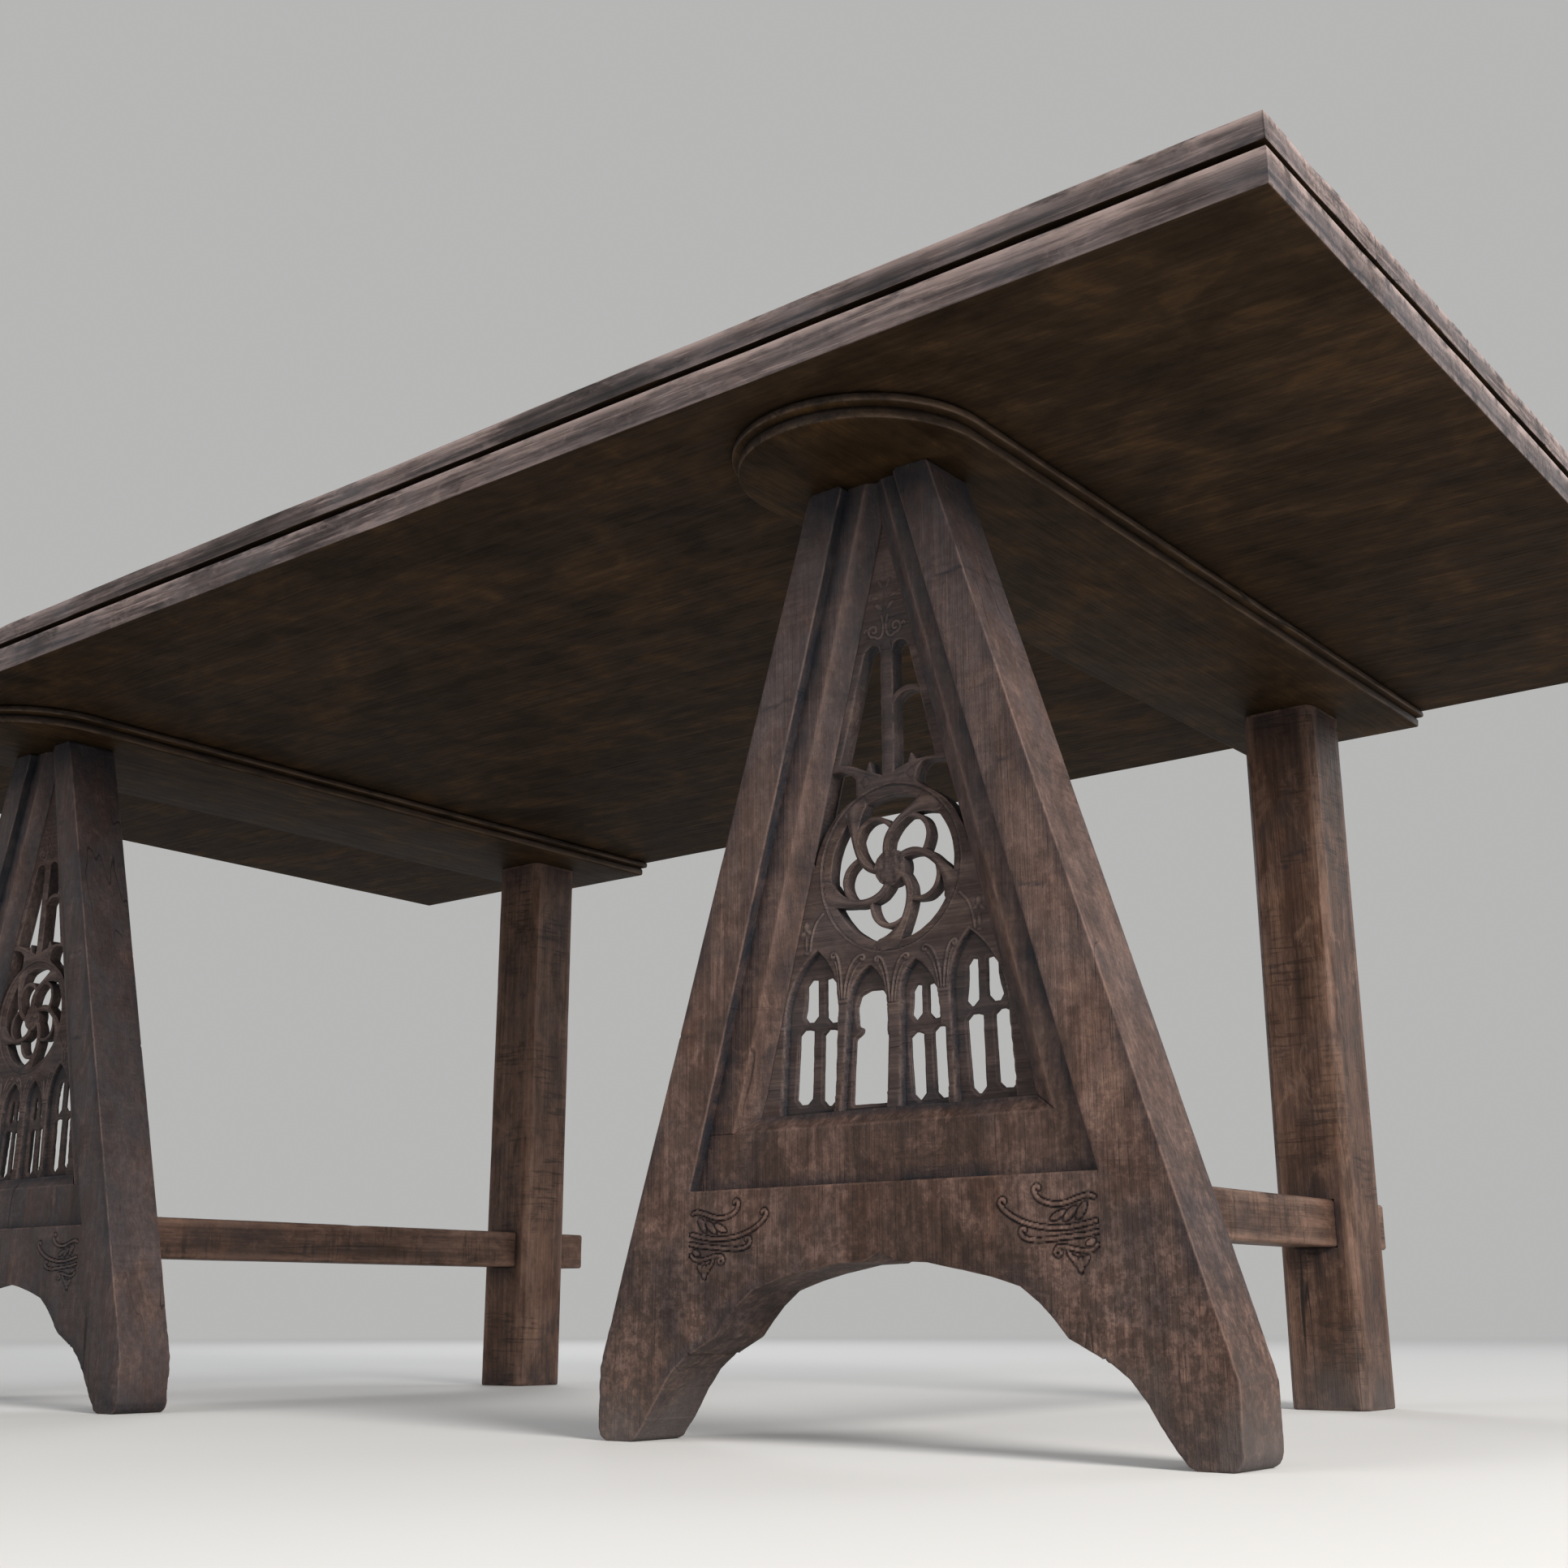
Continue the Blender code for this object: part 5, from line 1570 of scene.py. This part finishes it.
# lumps of the finial over the right outer arch: (x, z, radius x, radius z, degrees), height
FINIAL = [
    ((0.1050, 0.5080, 0.0034, 0.0056, 0), 0.0018), ((0.1012, 0.5020, 0.0042, 0.0024, 35), 0.0014),
    ((0.1090, 0.5010, 0.0042, 0.0024, -35), 0.0014), ((0.1050, 0.4905, 0.0018, 0.0085, 0), 0.0012),
    ((0.1048, 0.4800, 0.0034, 0.0016, 0), 0.0012),
]
CROWN_VEIN = [(0.012, 0.6530), (0.026, 0.6580), (0.040, 0.6640), (0.056, 0.6690)]
# head panel, right half: (line, half width, height), and leaves as for dome
HEAD_LINES = [
    (spiral(0.0142, 0.8118, 0.0072, 0.0022, -100, 300, 30), 0.00145, 0.0018),
    (spline([(0.0128, 0.8048), (0.0080, 0.8020), (0.0030, 0.8060), (0.0018, 0.8160),
             (0.0040, 0.8260)]), 0.0014, 0.0015),
    (spline([(0.0215, 0.8120), (0.0240, 0.8150), (0.0262, 0.8125)]), 0.0012, 0.0012),
]
HEAD_LEAVES = [
    (0.0075, 0.8370, 0.0062, 0.0026, 40), (0.0120, 0.8480, 0.0050, 0.0022, 20),
    (0.0050, 0.8620, 0.0052, 0.0020, 62),
]


def light_outline(left, right, sill, head, lean_left, lean_right, drop_left, drop_right):
    return rounded([
        (left, sill), (right, sill), (right + lean_right, head - drop_right),
        (right + lean_right, head), (left + lean_left, head), (left + lean_left, head - drop_left),
    ], 0.0058, 1)


def rose_point(radius, degrees):
    angle = math.radians(degrees)
    return (radius * math.cos(angle), ROSE_Z + radius * math.sin(angle))


def rose_arms():
    """Five curved arms as (line, half widths), and the five arcs that link them."""
    arms, arcs = [], []
    radii = [0.012 + 0.071 * i / 20 for i in range(21)]
    halves = [0.5 * (0.0078 + 0.0150 * max(0.0, (r - 0.055) / 0.025) ** 1.6) for r in radii]
    spots = [(0.0545, 21), (0.0585, 7), (0.0590, -6), (0.0545, -18), (0.0470, -28), (0.0395, -37)]
    for k in range(5):
        end = 51 - 72 * k
        line = [
            rose_point(r, end + 54 * (0.080 - r) / 0.057
                       - 3.5 * math.sin(math.pi * min(1.0, max(0.0, (r - 0.03) / 0.05))))
            for r in radii
        ]
        arms.append((line, halves))
        arcs.append(spline([rose_point(r, end + degrees) for r, degrees in spots], 4))
    return arms, arcs


def tracery_lights(side):
    lights = []
    for index, group in enumerate(LIGHTS):
        if index == BROKEN_GROUP and side == "right":
            lights.append(rounded(BROKEN, 0.0022, 2))
        else:
            lights += [light_outline(*row) for row in group]
    return lights


def tracery_openings():
    """Openings beside the rose, and the two lancets above it."""
    openings = []
    for hand in (-1, 1):
        crown = spline(FLANK_CROWNS[hand], 4)
        arc = [rose_point(0.0885 + 0.0068 * i / 12, 117 + 55 * (i / 12)) for i in range(13)]
        arc = mirrored(arc, -hand)
        edge = [
            (hand * (field_half(z) + 0.0015), z) for z in (arc[-1][1] + 0.004, crown[-1][1])
        ]
        openings.append(arc + edge + crown[::-1])
    for hand in (-1, 1):
        sill = LANCET_SILLS[hand]
        openings.append([sill[-1]] + spline(mirrored(LANCET_HEAD, hand), 4) + sill[:-1])
    return openings


def vine_lines():
    """Raised vines as (line, half width, height)."""
    lines = []
    for x0, z0, x1, z1 in VINES:
        way = 1 if x1 > x0 else -1
        dx, dz = x1 - x0, z1 - z0
        path = bezier((x0 + way * 0.0014, z0), (x0 + way * 0.0018 + dx * 0.05, z0 + dz * 0.55),
                      (x0 + dx * 0.45, z0 + dz * 0.98), (x1, z1), 16)
        curl = spiral(x1 + way * 0.0004, z1 - 0.0030, 0.0030, 0.0015, 90, 90 - way * 250, 14)
        lines.append((path + curl[1:], 0.00140, 0.00165))
        inner = bezier((x0 + way * 0.0046, z0), (x0 + way * 0.0050 + dx * 0.08, z0 + dz * 0.40),
                       (x0 + dx * 0.58, z0 + dz * 0.72), (x0 + dx * 0.88, z0 + dz * 0.80), 12)
        lines.append((inner, 0.00105, 0.00105))
    lines += [(mirrored(spline(OUTER_VINE), hand), 0.0014, 0.0015) for hand in (-1, 1)]
    return lines


ROSE_ARMS, ROSE_ARCS = rose_arms()
OPENINGS = tracery_openings()
CUSP = bow((0.0040, 0.7290), (0.0445, 0.7345), 0.0110, 12)  # bar across the right lancet
VINE_LINES = vine_lines()
ARCH_LINES = [
    [a] + bow(b, c, 0.0075, 12) + bow(c, d, 0.0065, 12)[1:] + [e] for a, b, c, d, e in ARCHES
]
# the panel's outline runs this far in under the mouldings
PANEL_FOOT, PANEL_LAP = 0.3162, 0.0045
PANEL = [
    (field_half(PANEL_FOOT) + PANEL_LAP, PANEL_FOOT),
    (0.0, FIELD_FOOT + (FIELD_HALF + PANEL_LAP) / FIELD_TAPER),
    (-field_half(PANEL_FOOT) - PANEL_LAP, PANEL_FOOT),
]


# --------------------------------------------------- tracery: the carving
class TraceryFace:
    """Distances to the drawing at some points, and the depth carved there, with wear and painted
    highlight on its edges and ridges and dirt and painted shade in its grooves and recesses.
    """

    def __init__(self, x, z, lights, seed):
        self.x, self.z, self.seed = x, z, seed
        self.light = nearest(poly_dist, x, z, lights)
        self.open = nearest(poly_dist, x, z, OPENINGS)
        self.cusp = line_dist(x, z, CUSP)
        self.radius = np.hypot(x, z - ROSE_Z)
        self.arm = np.full(np.shape(x), FAR)
        self.share = np.full(np.shape(x), 9.0)
        for line, halves in ROSE_ARMS:
            gap, share = tapered_dist(x, z, line, halves)
            self.share = np.where(gap < self.arm, share, self.share)
            self.arm = np.minimum(self.arm, gap)
        self.arc = nearest(line_dist, x, z, ROSE_ARCS)
        self.depth, self.wear, self.dirt_and_shade = (np.zeros_like(x) for _ in range(3))

    def into_wood(self, chew=0.0):
        """Distance into the wood from the holes; chew frays all edges but the cusp bar's."""
        rose = np.maximum(np.maximum(-self.arm, ARC_HALF - self.arc), ROSE_HUB - self.radius)
        rose = np.maximum(self.radius - ROSE_OPENING, rose)
        opening = np.maximum(self.open + chew, CUSP_HALF - self.cusp)
        return np.minimum(np.minimum(self.light + chew, opening), rose + chew)

    def rub_and_highlight(self, amount):
        self.wear = np.maximum(self.wear, amount)

    def soil_and_shade(self, amount):
        self.dirt_and_shade = np.maximum(self.dirt_and_shade, amount)

    def carve(self, where, depth, wear, dirt_and_shade=None):
        """Replaces what is there by a new surface."""
        self.depth = np.where(where, depth, self.depth)
        self.wear = np.where(where, wear, self.wear)
        if dirt_and_shade is not None:
            self.dirt_and_shade = np.where(where, dirt_and_shade, self.dirt_and_shade)

    def roll(self, distance, half, height, groove, wear, dirt_and_shade, where=1):
        """A raised round line with wear and painted highlight on it, and dirt and painted shade at
        groove half widths from it.
        """
        lump = np.sqrt(clip01(1 - (distance / half) ** 2)) * where
        self.depth = self.depth - height * lump
        self.rub_and_highlight(lump * wear)
        self.soil_and_shade(near(distance, half * groove, 0.0010) * (lump <= 0) * dirt_and_shade)

    def leaf(self, x, ellipse, height, swell, dirt_and_shade, where=1):
        """A raised lump, with dirt and painted shade out to its ellipse swollen by swell; returns
        the lump.
        """
        cx, cz, rx, rz, degrees = ellipse
        lump = dome(x, self.z, cx, cz, rx, rz, degrees)
        self.depth = self.depth - height * lump * where
        ring = dome(x, self.z, cx, cz, rx * swell[0], rz * swell[1], degrees)
        self.soil_and_shade((ring > 0) * (lump <= 0) * dirt_and_shade)
        return lump

    def sink_arches(self):
        into = -self.arch
        lip = near(self.arch, 0.0006, 0.0018)
        self.depth = 0.0064 * ramp(into, -0.0002, 0.0019) ** 0.8 + 0.0005 * lip * (self.arch > 0)
        # wear and painted highlight on the arches' lip; dirt and painted shade inside the sunk
        # arches, most near their walls
        self.rub_and_highlight(lip * (self.arch > -0.0004) * 0.85)
        self.soil_and_shade(near(into, 0.0020, 0.0045) * (into > -0.0002))
        self.soil_and_shade(0.30 * (into > 0.0018))

    def chamfer_holes(self):
        self.depth = self.depth + 0.0017 * fade(self.light, 0.0024)
        # wear and painted highlight on the chamfers
        self.rub_and_highlight(near(self.light, 0.0024, 0.0012) * 0.55)
        chamfer = fade(self.open, 0.0019) * (self.cusp > CUSP_HALF)
        self.depth = self.depth + 0.0013 * chamfer
        self.rub_and_highlight(chamfer * 0.8)
        # the cusp bar is ridged and set back
        on_cusp = (self.cusp < CUSP_HALF) & (self.open < 0.0006)
        ridge = 0.0016 + 0.0012 * (self.cusp / CUSP_HALF) ** 2
        self.depth = np.where(on_cusp, ridge, self.depth)

    def rose_ring(self):
        """A fine ring line, then a band that slopes in to the opening."""
        radius = self.radius
        ring_line, ring_cut = near(radius, 0.0862, 0.0011), near(radius, 0.0846, 0.0011)
        band = clip01((0.0842 - radius) / (0.0842 - ROSE_OPENING))
        in_rose = radius < 0.0845
        depth = np.where(in_rose, 0.0009 + 0.0026 * band, self.depth)
        self.depth = depth - 0.0009 * ring_line * (~in_rose) + 0.0013 * ring_cut
        # wear and painted highlight on the ring line, dirt and painted shade in the cut beside it
        self.wear = np.maximum(self.wear * ~in_rose, ring_line * 0.9 * ~in_rose)
        self.dirt_and_shade = np.maximum(self.dirt_and_shade * ~in_rose, ring_cut * 0.95)
        lip = near(radius, ROSE_OPENING, 0.0013) * (radius > ROSE_OPENING)
        self.depth = self.depth + 0.0006 * lip * (self.arm > 0)
        self.rub_and_highlight(lip * 0.7)

    def rose_inside(self):
        radius, arm, share, arc = self.radius, self.arm, self.share, self.arc
        # arms: a soft ridge, fanning out flat where they meet the band; wear and painted highlight
        # on the ridge's crest and edges, painted shade growing toward its sides
        ridge = 0.0006 + 0.0030 * clip01(share) ** 1.7
        flatter = ramp(radius, 0.062, 0.080)
        self.carve(
            (arm < 0.0) & (radius < 0.0842),
            depth=ridge * (1 - 0.55 * flatter) + 0.0006 * flatter,
            wear=np.maximum(clip01(0.75 - share) * 0.9, clip01(share - 0.80) * 3.0),
            dirt_and_shade=0.18 * share)
        on_band = (radius < 0.0845) * (radius > ROSE_OPENING)
        # dirt and painted shade on the band beside the arms
        self.soil_and_shade(near(arm, 0.0008, 0.0016) * on_band * 0.7)
        # small linking arcs
        self.carve(
            (arc < ARC_HALF) & (arm > 0.0) & (radius < ROSE_OPENING) & (radius > ROSE_HUB),
            depth=0.0026 + 0.0013 * (arc / ARC_HALF) ** 2, wear=fade(arc, 0.0020) * 0.7)
        # hub, rough from the knife, painted paler on its bumps and darker in its pits: painted
        # highlight and painted shade
        rough = 0.00075 * layered_noise(self.x * 260, self.z * 260, seed=self.seed + 5)
        rough = rough + 0.0005 * noise(self.x * 90, self.z * 90, seed=self.seed + 9)
        rim = near(radius, ROSE_HUB - 0.0014, 0.0014)
        boss = np.sqrt(clip01(1 - (radius / ROSE_HUB) ** 2))
        self.carve(
            radius < ROSE_HUB, depth=0.0010 - 0.0009 * boss + rough + 0.0006 * rim,
            wear=np.clip(-rough * 900, 0, 0.7), dirt_and_shade=np.clip(rough * 700, 0, 0.9))

    def columns(self):
        """Vines, then the capitals and feet of the slender columns."""
        arch, z = self.arch, self.z
        for line, half, height in VINE_LINES:
            self.roll(
                line_dist(self.x, z, line), half, height, groove=1.5, wear=0.95,
                dirt_and_shade=0.65 * (arch > 0), where=(arch > -0.0003) * (self.radius > 0.0868))
        for cx, cz, half in CAPITALS:
            gap = np.maximum(np.abs(self.x - cx) - half, np.abs(z - cz) - 0.0017)
            cap = clip01(-gap / 0.0009) * (arch > -0.0002)
            self.depth = self.depth - 0.0011 * cap
            # wear and painted highlight on the capitals, dirt and painted shade round them
            self.rub_and_highlight(cap * 0.6)
            self.soil_and_shade(near(gap, 0.0006, 0.0009) * (arch > 0) * 0.8)
        # wear and painted highlight on the column feet
        self.depth = self.depth - 0.0012 * (ramp(z, 0.3340, 0.3325) * (arch > -0.0002))
        self.rub_and_highlight(near(z, 0.3332, 0.0012) * (arch > 0) * 0.8)
        # plinth line at both sides, with dirt and painted shade in it
        plinth = near(z, 0.3435, 0.0010) * (np.abs(self.x) > 0.1405)
        self.depth = self.depth + 0.0010 * plinth
        self.soil_and_shade(plinth * 0.9)

    def finials(self):
        for hand in (-1, 1):
            for ellipse, height in FINIAL:
                lump = self.leaf(
                    hand * self.x, ellipse, height, swell=(1.4, 1.3), dirt_and_shade=0.55,
                    where=self.arch > 0)
                # wear and painted highlight on the finial's lumps
                self.rub_and_highlight(clip01(lump - 0.4))

    def crown(self):
        """Over the rose: a vein along each leaf and a small lozenge each side."""
        clear = self.radius > 0.0875
        for hand, dz in ((-1, 0.0), (1, -0.0035)):
            across = hand * self.x
            vein = line_dist(across, self.z, spline([(x, z + dz) for x, z in CROWN_VEIN]))
            vein = fade(vein, 0.0008) * (self.open > 0.0004)
            self.depth = self.depth + 0.0008 * vein
            # dirt and painted shade in the vein
            self.soil_and_shade(vein * 0.8)
            lozenge = (np.abs(across - 0.0285) + np.abs(self.z - 0.6505) * 0.9) / 0.0052
            self.depth = self.depth - 0.0011 * clip01(1 - lozenge) ** 0.6 * clear
            edge = near(lozenge, 1.12, 0.14) * clear
            self.depth = self.depth + 0.0007 * edge
            # dirt and painted shade round the lozenge
            self.soil_and_shade(edge * 0.8)

    def mullion(self):
        """A soft roll between the lancets."""
        half = 0.0075
        on_mullion = (np.abs(self.x) < half) & (self.z > 0.6600) & (self.z < 0.7960)
        roll = 0.0018 * (np.abs(self.x) / half) ** 2
        self.depth = np.where(
            on_mullion & (self.open > 0), np.maximum(self.depth, roll), self.depth)

    def head_panel(self):
        """Volutes, leaves and a stem above the lancets."""
        for hand in (-1, 1):
            across = hand * self.x
            for line, half, height in HEAD_LINES:
                self.roll(
                    line_dist(across, self.z, line), half, height, groove=1.6, wear=0.8, dirt_and_shade=0.7)
            for ellipse in HEAD_LEAVES:
                lump = self.leaf(across, ellipse, 0.0010, swell=(1.3, 1.4), dirt_and_shade=0.6)
                # wear and painted highlight on the leaves
                self.rub_and_highlight(lump * 0.4)
        stem = near(self.x, 0, 0.0012) * (self.z > 0.815) * (self.z < 0.885)
        self.depth = self.depth - 0.0008 * stem

    def front(self):
        self.arch = nearest(poly_dist, self.x, self.z, ARCH_LINES)
        self.sink_arches()
        self.chamfer_holes()
        self.rose_ring()
        self.rose_inside()
        self.columns()
        self.finials()
        self.crown()
        self.mullion()
        self.head_panel()
        # unevenness left by the carver
        depth = self.depth + 0.00016 * noise(self.x * 70, self.z * 260, seed=self.seed + 12)
        depth = depth + 0.00012 * noise(self.x * 30, self.z * 60, seed=self.seed + 13)
        return PANEL_Y0 + np.maximum(depth, -0.0020), clip01(self.wear), clip01(self.dirt_and_shade)

    def back(self):
        chamfer = fade(self.into_wood(), 0.0022)
        depth = 0.0014 * chamfer
        depth = depth + 0.00016 * noise(self.x * 70, self.z * 260, seed=self.seed + 22)
        depth = np.where(self.radius < ROSE_OPENING, depth + 0.0012, depth)
        # the arches are sunk from the back too, which leaves the pierced lights thin
        arch = nearest(poly_dist, self.x, self.z, ARCH_LINES)
        depth = depth + 0.0092 * ramp(-arch, 0.0002, 0.0024) ** 0.8
        # dirt and painted shade inside the sunk arches; wear and painted highlight on the chamfers
        # and lips
        dirt_and_shade = near(-arch, 0.0024, 0.0045) * (arch < 0) * 0.85
        lip = near(arch, 0.0004, 0.0016) * (arch > -0.0002)
        return PANEL_Y1 - depth, np.maximum(chamfer, lip) * 0.6, dirt_and_shade


def tracery(side):
    lights = tracery_lights(side)
    seed = 601 if side == "right" else 651

    def inside(x, z):
        chew = 0.00035 * noise(x * 120, z * 120, seed=seed)
        chew = chew + 0.00030 * noise(x * 40, z * 40, seed=seed + 1)
        wood = TraceryFace(x, z, lights, seed).into_wood(chew)
        return np.minimum(wood, -poly_dist(x, z, PANEL))

    def front(x, z):
        return TraceryFace(x, z, lights, seed).front()

    def back(x, z):
        return TraceryFace(x, z, lights, seed).back()

    step = 0.00115
    obj = relief(
        f"carved_tracery_{side}", side, (-0.170, 0.170, 0.3140, 0.950), step, inside, front, back,
        ease=0.0007)
    finish_piece(obj, f"tracery_panel_{side}", TRACERY_OAK[side], 42)


# ---------------------------------------------------------------- assembly
seam_ys = [round(-TOP_HALF_Y + PLANK_WIDTH * k, 4) for k in range(1, 6)]
board("top_planks", "top_board", TOP_OAK, upper_arris=0.0017, lower_arris=0.0007,
      seams=seam_ys, seed=11)
board("under_planks", "under_board", UNDER_OAK, upper_arris=0.0007, lower_arris=0.0014,
      seams=[], seed=31)
groove_strip()
for side in SIDES:
    bearer(side)
    post_and_stretcher(side)
    for hand in (-1, 1):
        leg(side, hand)
        bead(side, hand, "front")
        bead(side, hand, "back")
    foot_rail(side)
    tracery(side)


# ------------------------------------------------------------------- stage
BACKDROP = (0.47, 0.47, 0.465)


def floor():
    """A wide disc that fades into the backdrop colour away from the table."""
    corners, radius = 96, 60.0
    ring = []
    for i in range(corners):
        angle = 2 * math.pi * i / corners
        ring.append((radius * math.cos(angle), radius * math.sin(angle), 0.0))
    mesh = bpy.data.meshes.new("studio_floor")
    mesh.from_pydata(ring, [], [tuple(range(corners))])
    obj = linked_object("studio_floor", mesh)
    material = bpy.data.materials.new("studio_floor")
    nodes = Nodes(material)
    shader = nodes.make("ShaderNodeBsdfPrincipled", {
        "Base Color": (0.70, 0.70, 0.69), "Roughness": 0.85, "Specular IOR Level": 0.15,
    })
    glow = nodes.make("ShaderNodeEmission", {0: BACKDROP})
    distance = nodes.make(
        "ShaderNodeVectorMath", {0: nodes.geometry("Position")}, operation="LENGTH")
    share = nodes.span(distance.outputs["Value"], over=(1.6, 7.5))
    blend = nodes.make(
        "ShaderNodeMixShader", {0: share, 1: shader.outputs[0], 2: glow.outputs[0]})
    nodes.make("ShaderNodeOutputMaterial", {0: blend.outputs[0]})
    mesh.materials.append(material)


def backdrop():
    """The world lights the scene softly but looks like the plain backdrop."""
    world = bpy.data.worlds.new("studio")
    bpy.context.scene.world = world
    nodes = Nodes(world)
    lit = nodes.make("ShaderNodeBackground", {"Color": (0.97, 0.98, 1.0), "Strength": 0.42})
    seen = nodes.make("ShaderNodeBackground", {"Color": BACKDROP, "Strength": 1.0})
    path = nodes.make("ShaderNodeLightPath")
    mix = nodes.make("ShaderNodeMixShader", {
        0: path.outputs["Is Camera Ray"], 1: lit.outputs[0], 2: seen.outputs[0],
    })
    nodes.make("ShaderNodeOutputWorld", {0: mix.outputs[0]})


def area(name, place, target, size, power, colour):
    data = bpy.data.lights.new(name, "AREA")
    data.shape = "DISK"
    data.size = size
    data.energy = power
    data.color = colour
    obj = bpy.data.objects.new(name, data)
    obj.location = place
    obj.rotation_mode = "QUATERNION"
    obj.rotation_quaternion = (Vector(target) - Vector(place)).to_track_quat("-Z", "Y")
    obj.visible_camera = False
    bpy.context.scene.collection.objects.link(obj)


def camera():
    """Low in front and to the right of the table, looking slightly up."""
    data = bpy.data.cameras.new("view")
    data.sensor_width = 36.0
    data.lens = 43.121739
    data.clip_start, data.clip_end = 0.01, 200
    # azimuth to the left of straight back, elevation and roll
    azimuth, elevation, roll = (math.radians(a) for a in (38.302, 15.7715, -0.1273))
    forward = Vector((
        -math.sin(azimuth) * math.cos(elevation), math.cos(azimuth) * math.cos(elevation),
        math.sin(elevation),
    ))
    level_right = Vector((math.cos(azimuth), math.sin(azimuth), 0.0))
    level_up = level_right.cross(forward)
    right = level_right * math.cos(roll) + level_up * math.sin(roll)
    up = -level_right * math.sin(roll) + level_up * math.cos(roll)
    place = Vector((
        TRESTLE_X["right"] + 1.0575 * UNIT, FRONT_Y - 1.4798 * UNIT, 0.1240 * UNIT))
    obj = linked_object("view", data)
    matrix = Matrix((right, up, -forward)).transposed().to_4x4()
    matrix.translation = place
    obj.matrix_world = matrix
    bpy.context.scene.camera = obj


floor()
backdrop()
area("key_right", place=(4.2, -1.6, 1.9), target=(0.3, -0.2, 0.40), size=1.7, power=250,
     colour=(1.0, 0.96, 0.915))
area("fill_front", place=(-1.5, -4.6, 2.4), target=(0, 0, 0.4), size=3.0, power=62,
     colour=(1.0, 0.98, 0.96))
area("back_left", place=(-3.6, 3.4, 2.8), target=(0, 0, 0.5), size=2.4, power=70,
     colour=(0.97, 0.98, 1.0))
area("back_right", place=(2.4, 4.6, 2.2), target=(0, 0.1, 0.4), size=3.0, power=48,
     colour=(0.98, 0.99, 1.0))
camera()
bpy.context.scene.view_settings.view_transform = "Standard"
